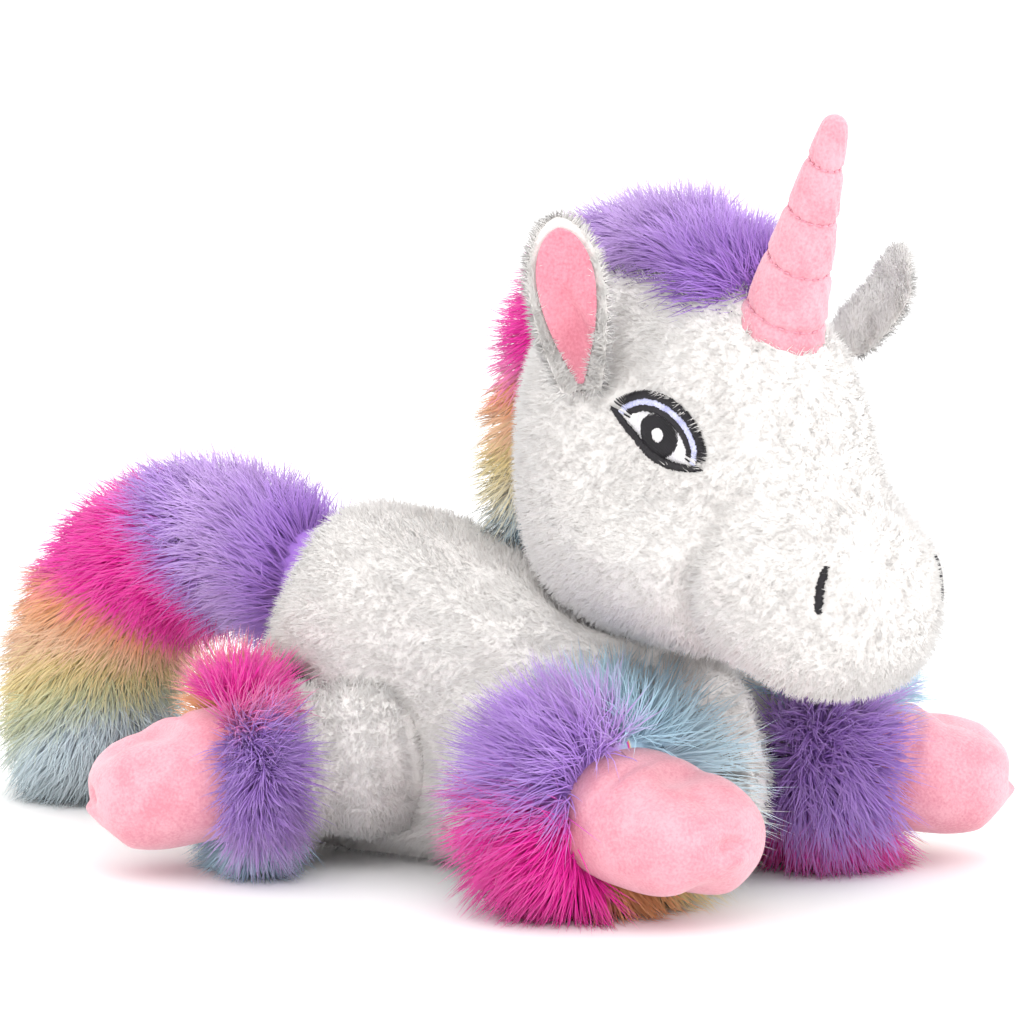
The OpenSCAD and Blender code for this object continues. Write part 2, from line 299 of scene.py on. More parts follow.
@dataclass(frozen=True)
class Swell:
    """A soft bulge, or a dimple if the rise is negative, that fades out evenly."""

    centre: tuple[float, float, float]
    reach: tuple[float, float, float]
    rise: float

    def __call__(self, at: Points, normals: Points) -> Points:
        """Move points along their normals."""
        away = ((at - self.centre) / self.reach) ** 2
        return at + normals * (self.rise * np.exp(-away.sum(axis=1)))[:, None]


@dataclass(frozen=True)
class Crease:
    """A seam or fold pressed along a plane, limited to a soft region."""

    point: tuple[float, float, float]
    across: tuple[float, float, float]
    width: float
    depth: float
    centre: tuple[float, float, float] = (0.0, 0.0, 0.0)
    reach: float = 1e6

    def __call__(self, at: Points, normals: Points) -> Points:
        """Press points in along their normals."""
        off = (at - self.point) @ unit(np.array(self.across))
        near = np.exp(-((at - self.centre) ** 2).sum(axis=1) / self.reach**2)
        return at - normals * (self.depth * near * np.exp(-((off / self.width) ** 2)))[:, None]


Sculpt = Callable[[Points, Points], Points]


@dataclass
class Form:
    """A closed soft form around a path, made from a sphere whose poles lie at the path's ends.

    A station is (x, y, z, half width, half height). The width lies along side_axis. The height lies across
    the path, or straight up if the form is upright.
    """

    stations: tuple[tuple[float, float, float, float, float], ...]
    side_axis: tuple[float, float, float] = (1.0, 0.0, 0.0)
    squareness: float = 2.0
    segments: int = 64
    rings: int = 64
    upright: bool = False

    def build(self, sculpt: Sequence[Sculpt] = (), soften: int = 2) -> bmesh.types.BMesh:
        """Make the form and work it.

        Args:
            sculpt: Moves to make in order.
            soften: How many times the surface is smoothed before them.

        Returns:
            A closed mesh in the part's own frame.
        """
        bm = bmesh.new()
        bmesh.ops.create_uvsphere(bm, u_segments=self.segments, v_segments=self.rings, radius=1.0)
        ball = np.array([v.co for v in bm.verts])
        rows = np.array(self.stations, float)
        steps = np.linalg.norm(np.diff(rows, axis=0), axis=1)
        keys = np.concatenate([[0.0], np.cumsum(steps)])
        share = np.arccos((-ball[:, 2]).clip(-1, 1)) / pi
        row = smooth_track(keys, rows, share * keys[-1])
        ahead = smooth_track(keys, rows, (share * keys[-1] + 1.0).clip(0, keys[-1]))
        behind = smooth_track(keys, rows, (share * keys[-1] - 1.0).clip(0, keys[-1]))
        tangent = unit(ahead[:, :3] - behind[:, :3])
        side = np.array(self.side_axis)
        up = UP if self.upright else unit(np.cross(tangent, side))
        turn = np.arctan2(ball[:, 1], ball[:, 0])
        c, s = np.cos(turn), np.sin(turn)
        bend = 2 / self.squareness
        wide = np.sign(c) * np.abs(c) ** bend * row[:, 3].clip(0)
        high = np.sign(s) * np.abs(s) ** bend * row[:, 4].clip(0)
        place_all(bm, row[:, :3] + wide[:, None] * side + high[:, None] * up)
        bmesh.ops.recalc_face_normals(bm, faces=bm.faces)
        if bm.calc_volume(signed=True) < 0:
            bmesh.ops.reverse_faces(bm, faces=bm.faces)
        for _ in range(soften):
            bmesh.ops.smooth_vert(bm, verts=bm.verts, factor=0.5, use_axis_x=True, use_axis_y=True,
                                  use_axis_z=True)
        work(bm, sculpt)
        return bm


def place_all(bm: bmesh.types.BMesh, places: Points) -> None:
    """Put every vertex of a mesh at its new place."""
    for vertex, place in zip(bm.verts, places):
        vertex.co = place


def work(bm: bmesh.types.BMesh, sculpt: Sequence[Sculpt]) -> None:
    """Apply moves to a mesh one after another.

    Args:
        bm: The mesh to work.
        sculpt: Each takes points and normals and returns the new points.
    """
    for move in sculpt:
        bm.normal_update()
        at = np.array([v.co for v in bm.verts])
        place_all(bm, move(at, np.array([v.normal for v in bm.verts])))


@dataclass
class Surface:
    """A finished skin as plain arrays, for pile and stitches to be laid on."""

    corners: Points
    normals: Points
    triangles: Points

    @classmethod
    def of(cls, bm: bmesh.types.BMesh) -> "Surface":
        """Read a mesh."""
        bm.normal_update()
        bm.verts.ensure_lookup_table()
        loops = bm.calc_loop_triangles()
        return cls(
            np.array([v.co for v in bm.verts]),
            np.array([v.normal for v in bm.verts]),
            np.array([[loop.vert.index for loop in t] for t in loops]),
        )

    def scatter(self, count: int, rng: np.random.Generator, keep: Field | None) -> tuple[Points, Points]:
        """Spread points evenly over the skin.

        Args:
            count: How many points.
            rng: Seeded random numbers.
            keep: Says how dense the pile is at a point, from 0 to 1.

        Returns:
            The points and their normals.
        """
        a, b, c = (self.corners[self.triangles[:, i]] for i in range(3))
        area = np.linalg.norm(np.cross(b - a, c - a), axis=1)
        if keep is not None:
            area = area * keep((a + b + c) / 3)
        total = np.cumsum(area)
        pick = np.searchsorted(total, (np.arange(count) + rng.random(count)) / count * total[-1])
        pick = pick.clip(0, len(area) - 1)
        r = np.sqrt(rng.random(count))[:, None]
        q = rng.random(count)[:, None]
        shares = (1 - r, r * (1 - q), r * q)
        tri = self.triangles[pick]
        at = sum(w * self.corners[tri[:, i]] for i, w in enumerate(shares))
        normal = sum(w * self.normals[tri[:, i]] for i, w in enumerate(shares))
        return at, unit(normal)


@dataclass(frozen=True)
class Ruffle:
    """A smooth, seeded disorder of directions over space, as brushed pile falls in locks."""

    scale_mm: float
    seed: int

    def __call__(self, at: Points) -> Points:
        """A vector of about unit size for each point."""
        rng = np.random.default_rng(self.seed)
        total = np.zeros_like(at)
        for octave in range(4):
            wave = rng.normal(size=(3, 3)) / self.scale_mm * (1 + octave)
            total += np.sin(at @ wave * 2 + rng.uniform(0, 2 * pi, 3)) / (1 + 0.4 * octave)
        return total / 2


def rod(sides: int, joints: int, tip: float) -> Surface:
    """A closed rod of unit length and radius along +Z, cut into joints.

    Args:
        sides: How many flat sides it has.
        joints: How many lengths it is cut into.
        tip: Radius of its far end.

    Returns:
        The rod.
    """
    bm = bmesh.new()
    bmesh.ops.create_cone(bm, cap_ends=True, segments=sides, radius1=1.0, radius2=tip, depth=1.0,
                          matrix=Matrix.Translation((0, 0, 0.5)))
    if tip == 0:
        bmesh.ops.remove_doubles(bm, verts=bm.verts, dist=1e-4)
    for k in range(1, joints):
        bmesh.ops.bisect_plane(bm, geom=bm.verts[:] + bm.edges[:] + bm.faces[:],
                               plane_co=(0, 0, k / joints), plane_no=(0, 0, 1))
    bmesh.ops.triangulate(bm, faces=bm.faces)
    surface = Surface.of(bm)
    bm.free()
    return surface


@dataclass
class Pile:
    """Strands standing on a skin, each a tapered three-sided fibre bundle repeated from one template.

    lean is how far the tips lie along the flow, ruffle how uneven they are, and sag how far they drop.
    """

    length: float
    width: float
    count: int
    seed: int
    joints: int = 1
    lean: float = 0.3
    ruffle: float = 0.3
    sag: float = 0.0
    lock_mm: float = 12.0
    taper: float = 0.6

    def grow(
        self, skin: Surface, dye: Field, flow: Field | None = None, keep: Field | None = None,
        size: Field | None = None,
    ) -> tuple[Points, Points, Points, Points]:
        """Lay the strands.

        Args:
            skin: Where they are rooted, in millimetres in the toy's frame.
            dye: Place in the dye, from 0 to 1, of each root.
            flow: Direction that the pile is brushed at each root.
            keep: Density at a point.
            size: Share of the full length at each root.

        Returns:
            Corners, triangles, each corner's strand map coordinates, and its normal.
        """
        rng = np.random.default_rng(self.seed)
        root, normal = skin.scatter(self.count, rng, keep)
        drift = Ruffle(self.lock_mm, self.seed)(root) + 0.6 * rng.normal(size=root.shape)
        brushed = flow(root) if flow else np.zeros_like(root)
        start = unit(normal + 0.5 * self.lean * brushed + 0.6 * self.ruffle * drift)
        end = unit((1 - self.lean) * normal + self.lean * brushed + self.ruffle * drift - self.sag * UP)
        reach = self.length * (0.75 + 0.5 * rng.random(self.count))
        if size is not None:
            reach = reach * size(root)
        strand = rod(STRAND_SIDES, self.joints, 0.0)
        corners, triangles = strand.corners, strand.triangles
        t = corners[:, 2]
        thin = (1 - t).clip(1e-3) ** (self.taper - 1)
        cross = corners[:, :2] * thin[:, None] * self.width / 2
        cross[t > 0.999] = 0.0
        e1 = unit(np.cross(start, rng.normal(size=root.shape)))
        e2 = np.cross(start, e1)
        along = reach[:, None, None] * (
            start[:, None] * (t - t**2 / 2)[None, :, None] + end[:, None] * (t**2 / 2)[None, :, None])
        girth = e1[:, None] * cross[None, :, :1] + e2[:, None] * cross[None, :, 1:]
        at = (root - 0.4 * normal)[:, None] + along + girth
        height = at[:, :, 2] - FLOOR_CLEARANCE
        at[:, :, 2] = np.where(height < 0, FLOOR_CLEARANCE - 0.02 * height, at[:, :, 2])
        tone = (dye(root) + 0.012 * rng.normal(size=self.count)).clip(0.015, 0.985)
        u = tone[:, None] + 0.012 * corners[None, :, 0]
        v = np.broadcast_to(0.01 + 0.98 * t, u.shape)
        index = np.arange(self.count)[:, None, None] * len(corners) + triangles[None]
        # Light scatters between fibres, so a strand is shaded mostly like the skin it stands on
        soft = unit(normal[:, None] + 0.35 * unit(girth) + 0.2 * (end[:, None] + 0 * girth))
        places, shares = at.reshape(-1, 3), np.stack([u, v], -1).reshape(-1, 2)
        return places, index.reshape(-1, 3), shares, soft.reshape(-1, 3)


# ---- pieces --------------------------------------------------------------------------------


def mesh_of(
    name: str, at: Points, triangles: Points, strand_map: Points | None = None, soft: Points | None = None
) -> bpy.types.Mesh:
    """Make mesh data from arrays.

    Args:
        name: Name of the mesh.
        at: Corners in metres.
        triangles: Corner numbers of each triangle.
        strand_map: Map coordinates of each corner.
        soft: Shading normal of each corner.

    Returns:
        The mesh.
    """
    mesh = bpy.data.meshes.new(name)
    mesh.vertices.add(len(at))
    mesh.vertices.foreach_set("co", at.astype(np.float32).ravel())
    mesh.loops.add(triangles.size)
    mesh.loops.foreach_set("vertex_index", triangles.astype(np.int32).ravel())
    mesh.polygons.add(len(triangles))
    mesh.polygons.foreach_set("loop_start", np.arange(0, triangles.size, 3, dtype=np.int32))
    if strand_map is not None:
        layer = mesh.uv_layers.new(name=STRAND_MAP)
        layer.data.foreach_set("uv", strand_map[triangles.ravel()].astype(np.float32).ravel())
    mesh.update(calc_edges=True)
    mesh.polygons.foreach_set("use_smooth", np.ones(len(triangles), dtype=bool))
    if soft is not None:
        mesh.normals_split_custom_set_from_vertices(soft.tolist())
    return mesh


def add_piece(
    name: str, mesh: bpy.types.Mesh, body: str, material: bpy.types.Material,
    stands_for: Sequence[str] = (),
) -> bpy.types.Object:
    """Put a finished mesh into the scene.

    Args:
        name: The piece's name.
        mesh: Its mesh, in metres in the toy's frame.
        body: The body that it rides on.
        material: Its material.
        stands_for: CAD nodes that it replaces.

    Returns:
        The new object.
    """
    piece = bpy.data.objects.new(name, mesh)
    bpy.context.scene.collection.objects.link(piece)
    mesh.materials.append(material)
    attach(piece, body)
    if stands_for:
        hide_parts(*stands_for)
    log.info("%s: %d faces on %s", name, len(mesh.polygons), body)
    return piece


@dataclass
class Skin:
    """A sewn and stuffed skin with its pile."""

    name: str
    body: str
    bm: bmesh.types.BMesh
    place: Matrix = field(default_factory=Matrix)

    def __post_init__(self) -> None:
        """Carry the mesh from its own frame to the toy's, in millimetres."""
        bmesh.ops.transform(self.bm, matrix=self.place, verts=self.bm.verts)
        self.surface = Surface.of(self.bm)

    def dress(
        self, slot: Slot, material: bpy.types.Material, stands_for: Sequence[str] = (),
        fill: float | None = 0.8, dye: Field | None = None,
    ) -> bpy.types.Object:
        """Turn the skin into a piece.

        Args:
            material, stands_for: As for add_piece. slot, fill: Not used.
            dye: Place in the dye, if the fabric is dyed in bands with its pile.

        Returns:
            The piece.
        """
        if dye is not None:
            self.map_dye(dye)
        mesh = bpy.data.meshes.new(self.name)
        bmesh.ops.scale(self.bm, vec=(MM, MM, MM), verts=self.bm.verts)
        for face in self.bm.faces:
            face.smooth = True
        self.bm.to_mesh(mesh)
        self.bm.free()
        return add_piece(self.name, mesh, self.body, material, stands_for)

    def map_dye(self, dye: Field) -> None:
        """Give the ground the strand map's colours of the pile that it carries, with painted shade: lighter
        where it faces up and darker where it faces down.

        Args:
            dye: Place in the dye of a point.
        """
        layer = self.bm.loops.layers.uv.new(STRAND_MAP)
        tone = dye(self.surface.corners)
        # Painted shade from the ground's facing: lighter upwards, darker downwards
        painted_top_light = self.surface.normals @ np.array([0.3, 0.5, 0.81])
        for face in self.bm.faces:
            for loop in face.loops:
                i = loop.vert.index
                loop[layer].uv = (tone[i], 0.35 + 0.12 * painted_top_light[i])

    def add_pile(
        self, name: str, pile: Pile, material: bpy.types.Material, dye: Field,
        flow: Field | None = None, keep: Field | None = None, size: Field | None = None,
        stands_for: Sequence[str] = (),
    ) -> bpy.types.Object:
        """Grow pile on this skin as a piece of its own.

        Args:
            name: Name of the pile.
            pile: The strands' sizes.
            material, stands_for: As for add_piece.
            dye, flow, keep, size: As for Pile.grow.

        Returns:
            The piece.
        """
        at, triangles, strand_map, soft = pile.grow(self.surface, dye, flow, keep, size)
        mesh = mesh_of(name, at * MM, triangles, strand_map, soft)
        return add_piece(name, mesh, self.body, material, stands_for)


def cloudy(seed: int, scale_mm: float = 14.0) -> Field:
    """A dye that only wanders softly about its middle.

    Args:
        seed: Seed of the disorder.
        scale_mm: Size of its clouds.

    Returns:
        A field for Pile.grow.
    """
    ruffle = Ruffle(scale_mm, seed)
    return lambda at: 0.5 + 0.28 * ruffle(at)[:, 0]


@dataclass
class Cloths:
    """The toy's materials, each made once."""

    plush: bpy.types.Material = field(default_factory=WHITE_FABRIC.material)
    plush_pile: bpy.types.Material = field(default_factory=WHITE_PILE.material)
    minky: bpy.types.Material = field(default_factory=MINKY.material)
    lining: bpy.types.Material = field(default_factory=LINING.material)
    black: bpy.types.Material = field(default_factory=BLACK_THREAD.material)
    white: bpy.types.Material = field(default_factory=WHITE_THREAD.material)
    lilac: bpy.types.Material = field(default_factory=LILAC_THREAD.material)
    pink: bpy.types.Material = field(default_factory=PINK_THREAD.material)

    @staticmethod
    def dyed(part: str, dye: Sequence[tuple[float, str]]) -> bpy.types.Material:
        """The long pile of one part, and the knitted ground dyed with it.

        Args:
            part: The part's name.
            dye: Colours along its dye.

        Returns:
            The material.
        """
        # Long polyester pile, dyed in bands that run into each other and brushed out, with painted shade at
        # the fibres' roots
        pile = DyedPile(f"polyester_long_pile_dyed_{part}", 0.8, 0.12, dye=tuple(dye), root="#D8CAD6",
                        root_shade_share=0.4, tip_share=0.16)
        return pile.material()


# ---- torso ---------------------------------------------------------------------------------


@dataclass
class Torso:
    """The body: a squarish tube from chest to rump that lies on a flat belly."""

    neck: tuple[float, float] = (6.0, -94.0)
    bowl_r: float = 83.0
    bowl_mid_z: float = 195.8
    belly_seam_z: float = 22.0
    rump_seam_y: float = 98.0
    profile: tuple[tuple[float, float, float, float], ...] = (
        (-132, 0, 70, 70), (-127, 25, 36, 100), (-108, 42, 12, 112), (-68, 51, 2, 124), (-42, 55, -5, 134),
        (-15, 54, -6, 138), (15, 55, -6, 145), (45, 60, -6, 152), (72, 58, -5, 157), (96, 47, 4, 154),
        (111, 31, 28, 139), (120, 0, 85, 85))

    def bowl(self, at: Points) -> Points:
        """Height of the hollow that the head sits in, at each point."""
        off = np.hypot(at[:, 0] - self.neck[0], at[:, 1] - self.neck[1]) / self.bowl_r
        dome = (1 - off.clip(0, 1) ** 2.4) ** (1 / 2.4)
        return np.where(off < 1, self.bowl_mid_z - 85.5 * dome, 1e3)

    def seat_head(self, at: Points, normals: Points) -> Points:
        """Press the top of the shoulders down under the head."""
        return np.column_stack([at[:, :2], np.minimum(at[:, 2], self.bowl(at))])

    def rest_on_floor(self, at: Points, normals: Points) -> Points:
        """Flatten the belly on the floor."""
        return np.column_stack([at[:, :2], at[:, 2].clip(0.2)])

    def build(self, cloths: Cloths, legs: Sequence["Leg"]) -> Skin:
        """Make the torso with its pile.

        Args:
            cloths: The materials.
            legs: The legs, whose sockets are pressed into the sides.

        Returns:
            The skin.
        """
        rows = tuple((0.0, y, (lo + hi) / 2, w, (hi - lo) / 2) for y, w, lo, hi in self.profile)
        sculpt: list[Sculpt] = [
            Swell((-52, 52, 86), (26, 34, 34), 7.0), Swell((52, 52, 86), (26, 34, 34), 7.0),
            Swell((-50, -20, 78), (20, 26, 30), 3.0), Swell((-30, 10, 146), (24, 30, 18), 2.0),
            Crease((0, self.rump_seam_y, 0), (0, 1, 0), 3.0, 2.6),
            Crease((0, 0, self.belly_seam_z), (0, 0, 1), 2.5, 1.8),
            Crease((-52, 8, 70), (0.55, 0.75, -0.35), 5.0, 3.0, (-55, 8, 84), 34.0),
            Crease((-50, -24, 90), (0.3, 0.6, 0.8), 6.0, 2.6, (-54, -22, 96), 26.0),
            *(leg.press_socket for leg in legs), self.seat_head, self.rest_on_floor]
        bm = Form(rows, squareness=2.4, segments=112, rings=112).build(sculpt)
        skin = Skin("torso_skin", "torso", bm)
        nodes = ("body_side_left", "body_side_right", "rump_panel", "belly_panel", "body_filling")
        pile = Pile(6.2, 0.7, 49000, 11, lean=0.5, ruffle=0.38, lock_mm=10.0)
        skin.add_pile("torso_pile", pile, cloths.plush_pile, cloudy(12), self.brush, self.bare)
        skin.dress(Slot.PLUSH, cloths.plush, nodes, 0.85)
        return skin

    @staticmethod
    def brush(at: Points) -> Points:
        """The nap lies backwards and a little down."""
        return np.broadcast_to(unit(np.array([0.0, 0.85, -0.5])), at.shape)

    def bare(self, at: Points) -> Points:
        """Hardly any pile is seen under the head or beneath the belly."""
        hidden = ((at[:, 2] > self.bowl(at) - 5) & (at[:, 2] < 115)) | (at[:, 2] < 4)
        return np.where(hidden, 0.05, 1.0)


# ---- head ----------------------------------------------------------------------------------

EYE_PLACE, EYE_TILT = (-54.0, 209.5), 23.5
NOSTRIL_PLACE = (-146.0, 153.0)
HEAD_PLACE = Matrix.Translation((6.0, -94.0, 0.0)) @ Matrix.Rotation(radians(-18), 4, "Z")


@dataclass
class Head:
    """The stuffed head, in its own frame: it faces -Y."""

    crease_y: float = 82.0
    gusset_half_w: float = 20.0
    profile: tuple[tuple[float, float, float, float], ...] = (
        (-160, 0, 146, 146), (-156, 20, 122, 170), (-143, 33, 109, 181), (-124, 43, 103, 191),
        (-108, 50, 104, 211), (-92, 57, 108, 249), (-70, 65, 111, 267), (-38, 71, 112, 279),
        (0, 68, 111.5, 280), (28, 61, 114, 273), (52, 47, 124, 257), (70, 28, 147, 232), (80, 0, 190, 190))

    def build(self, cloths: Cloths) -> Skin:
        """Make the head with its pile.

        Args:
            cloths: The materials.

        Returns:
            The skin.
        """
        rows = tuple((0.0, y, (lo + hi) / 2, w, (hi - lo) / 2) for y, w, lo, hi in self.profile)
        both = (-1.0, 1.0)
        sculpt: list[Sculpt] = [
            self.slim_brow,
            *(Swell((s * 62, -52, 146), (34, 40, 30), 3.5) for s in both),
            *(Swell((s * 40, -128, 140), (26, 24, 34), 3.5) for s in both),
            *(Crease((0, -self.crease_y, 146), (0, 1, 0.4), 6.5, 9.5, (s * 52, -84, 140), 40.0)
              for s in both),
            *(Crease((s * self.gusset_half_w, 0, 0), (1, 0, 0), 2.5, 1.6, (s * 20, -40, 270), 90.0)
              for s in both),
            *(Swell((s * 44, -58, 236), (16, 22, 12), 2.5) for s in both)]
        bm = Form(rows, squareness=2.4, segments=120, rings=120, upright=True).build(sculpt)
        skin = Skin("head_skin", "head", bm, HEAD_PLACE)
        pile = Pile(5.4, 0.7, 49500, 21, lean=0.5, ruffle=0.36, lock_mm=9.0)
        skin.add_pile("head_pile", pile, cloths.plush_pile, cloudy(22), self.brush, self.bare)
        return skin

    @staticmethod
    def slim_brow(at: Points, normals: Points) -> Points:
        """Narrow the upper face, so that the cheeks stand out below it."""
        high = np.interp(at[:, 2], (160, 182, 205, 250), (0.0, 0.2, 0.29, 0.31))
        ahead = ((5 - at[:, 1]) / 50).clip(0, 1)
        ahead = ahead**2 * (3 - 2 * ahead)
        return np.column_stack([at[:, 0] * (1 - high * ahead), at[:, 1:]])

    @staticmethod
    def brush(at: Points) -> Points:
        """The nap lies back from the nose and down the cheeks."""
        back = np.array([0.28, 0.85, -0.45])
        return np.broadcast_to(unit(back), at.shape)

    def bare(self, at: Points) -> Points:
        """No pile stands under the embroidery, and little under the jaw's seat."""
        own = moved(at, HEAD_PLACE.inverted())
        turn = radians(EYE_TILT)
        y, z = own[:, 1] - EYE_PLACE[0], own[:, 2] - EYE_PLACE[1]
        along, over = y * cos(turn) + z * sin(turn), z * cos(turn) - y * sin(turn)
        eye = (along / 29) ** 2 + ((over - 4) / 13) ** 2 < 1
        nostril = (np.abs(own[:, 1] - NOSTRIL_PLACE[0]) < 2.2) & (np.abs(own[:, 2] - NOSTRIL_PLACE[1]) < 10)
        seat = (own[:, 2] < 114) & (own[:, 1] > -60)
        return np.where(eye | nostril, 0.0, np.where(seat, 0.05, 1.0))


@dataclass
class Stitcher:
    """Lays satin stitches on a skin, drawn flat on one side of the head and pressed onto it."""

    skin: Skin
    side: Side
    origin: tuple[float, float]
    tilt: float
    thread_w: float = 0.8
    uneven: float = 0.5
    joints: int = 5

    def __post_init__(self) -> None:
        """Make the search tree and the flat frame's axes."""
        own = [Vector(p) for p in moved(self.skin.surface.corners, HEAD_PLACE.inverted())]
        self.tree = BVHTree.FromPolygons(own, self.skin.surface.triangles.tolist())
        turn = radians(self.tilt)
        self.along = np.array([cos(turn), sin(turn)])
        self.over = np.array([-sin(turn), cos(turn)])

    def press(self, flat: Points, rise: Points) -> Points:
        """Carry flat points onto the skin.

        Args:
            flat: Points as (along, over) in the flat frame.
            rise: How far each stands off the skin.

        Returns:
            The points in the head's frame.
        """
        yz = np.array(self.origin) + flat[:, :1] * self.along + flat[:, 1:] * self.over
        out = []
        for (y, z), lift in zip(yz, rise):
            start = Vector((self.side.value * 150.0, y, z))
            hit, normal, _, _ = self.tree.ray_cast(start, Vector((-self.side.value, 0.0, 0.0)))
            if hit is None:
                hit, normal, _, _ = self.tree.find_nearest(start)
            out.append(hit + normal * lift)
        return np.array(out)

    def sew(
        self, name: str, starts: Points, ends: Points, material: bpy.types.Material, slot: Slot,
        lift: float, puff: float, stands_for: Sequence[str] = (),
    ) -> bpy.types.Object:
        """Sew a row of stitches as one piece.

        Args:
            name: Name of the piece.
            starts: Where each stitch starts, flat.
            ends: Where it ends, flat.
            material, stands_for: As for add_piece. slot: Not used.
            lift: Height of the stitches' middle line at their ends.
            puff: How much further they stand off half way.

        Returns:
            The piece.
        """
        thread = rod(THREAD_SIDES, self.joints, 1.0)
        rng = np.random.default_rng(len(starts))
        run = unit(ends - starts)
        starts = starts - run * rng.uniform(-0.2, self.uneven, (len(starts), 1))
        ends = ends + run * rng.uniform(-0.2, self.uneven, (len(starts), 1))
        t = thread.corners[:, 2]
        levels = np.linspace(0, 1, self.joints + 1)
        ring = np.rint(t * self.joints).astype(int)
        round_end = np.where((ring == 0) | (ring == self.joints), 0.55, 1.0)
        at = []
        for a, b in zip(starts, ends):
            flat = a + (b - a) * levels[:, None]
            line = self.press(flat, lift + puff * np.sin(pi * levels))
            run = unit(np.gradient(line, axis=0))
            out = unit(np.array([self.side.value, 0.0, 0.0]) - run * run[:, :1] * self.side.value)
            across = np.cross(run, out)
            r = (self.thread_w / 2 * round_end)[:, None]
            at.append(line[ring] + across[ring] * thread.corners[:, :1] * r
                      + out[ring] * thread.corners[:, 1:2] * r)
        corners = moved(np.concatenate(at), HEAD_PLACE)
        count = len(starts)
        index = np.arange(count)[:, None, None] * len(t) + thread.triangles[None]
        mesh = mesh_of(name, corners * MM, index.reshape(-1, 3))
        fix = bmesh.new()
        fix.from_mesh(mesh)
        bmesh.ops.recalc_face_normals(fix, faces=fix.faces)
        fix.to_mesh(mesh)
        fix.free()
        return add_piece(name, mesh, self.skin.body, material, stands_for)


@dataclass
class Eye:
    """A sleepy almond eye in satin stitch: outline, lilac lid, white, iris and a light."""

    side: Side
    place: tuple[float, float] = EYE_PLACE
    tilt: float = EYE_TILT
    length: float = 58.0
    rise_up: float = 18.0
    rise_down: float = 9.5
    iris_r: float = 9.8
    pitch: float = 0.72

    def lid(self, share: Points, inset: float) -> Points:
        """The upper edge, set in by an even margin, from the front corner to the back one."""
        span = self.length / 2 - inset * 1.2
        height = (self.rise_up - inset) * np.sin(pi * share) ** 0.55
        return np.column_stack([-span + 2 * span * share, height])

    def lower(self, share: Points, inset: float) -> Points:
        """The lower edge, set in by an even margin."""
        span = self.length / 2 - inset * 1.2
        height = -(self.rise_down - inset) * np.sin(pi * share) ** 0.8
        return np.column_stack([-span + 2 * span * share, height])

    def build(self, skin: Skin, cloths: Cloths) -> None:
        """Sew the eye.

        Args:
            skin: The head's skin.
            cloths: The materials.
        """
        sewer = Stitcher(skin, self.side, self.place, self.tilt)
        word = self.side.word
        share = np.linspace(0.01, 0.99, int(self.length / self.pitch))
        white = self.lower(share, 2.4), self.lid(share, 4.5)
        sewer.sew(f"eye_white_stitches_{word}", *white, cloths.white, Slot.WHITE_THREAD, 0.3, 0.9,
                  (f"eye_white_{word}",))
        wide = self.iris_r * 1.2
        across = np.linspace(-0.97, 0.97, int(2 * wide / self.pitch))
        chord = np.sqrt(1 - across**2) * self.iris_r
        iris = (np.column_stack([across * wide, 1.3 - chord]),
                np.column_stack([across * wide, 1.3 + chord]))
        sewer.sew(f"eye_iris_stitches_{word}", *iris, cloths.black, Slot.BLACK_THREAD, 1.0, 0.8,
                  (f"eye_iris_{word}",))
        light = iris[0] * 0.27 + (0.0, 0.9), iris[1] * 0.27 + (0.0, 0.9)
        sewer.sew(f"eye_light_{word}", *light, cloths.white, Slot.WHITE_THREAD, 2.0, 0.4)
        dense = np.linspace(0.0, 1.0, int(self.length * 1.3 / self.pitch))
        lilac = self.lid(dense, 3.5), self.lid(dense, 6.0)
        sewer.sew(f"eye_lid_stitches_{word}", *lilac, cloths.lilac, Slot.WHITE_THREAD, 1.5, 0.35)
        under = self.lid(dense, 5.8), self.lid(dense, 8.6)
        sewer.sew(f"eye_lash_stitches_{word}", *under, cloths.black, Slot.BLACK_THREAD, 1.6, 0.2)
        outer = self.lid(dense, -0.3), self.lid(dense, 3.8)
        sewer.sew(f"eye_upper_stitches_{word}", *outer, cloths.black, Slot.BLACK_THREAD, 0.8, 0.7,
                  (f"eye_outline_{word}",))
        rim = self.lower(dense, -0.2), self.lower(dense, 3.2)
        sewer.sew(f"eye_lower_stitches_{word}", *rim, cloths.black, Slot.BLACK_THREAD, 0.8, 0.7)


@dataclass
class Nostril:
    """A short bar of satin stitch on the nose."""

    side: Side
    place: tuple[float, float] = NOSTRIL_PLACE
    length: float = 19.0
    height: float = 2.4

    def build(self, skin: Skin, cloths: Cloths) -> None:
        """Sew the nostril.

        Args:
            skin: The head's skin.
            cloths: The materials.
        """
        sewer = Stitcher(skin, self.side, self.place, 90.0)
        x = np.linspace(-self.length / 2, self.length / 2, 36)
        tall = self.height / 2 * (1 - (2 * x / self.length) ** 4 * 0.5)
        word = self.side.word
        sewer.sew(f"nostril_stitches_{word}", np.column_stack([x, -tall]), np.column_stack([x, tall]),
                  cloths.black, Slot.BLACK_THREAD, 0.6, 0.8, (f"nostril_{word}",))


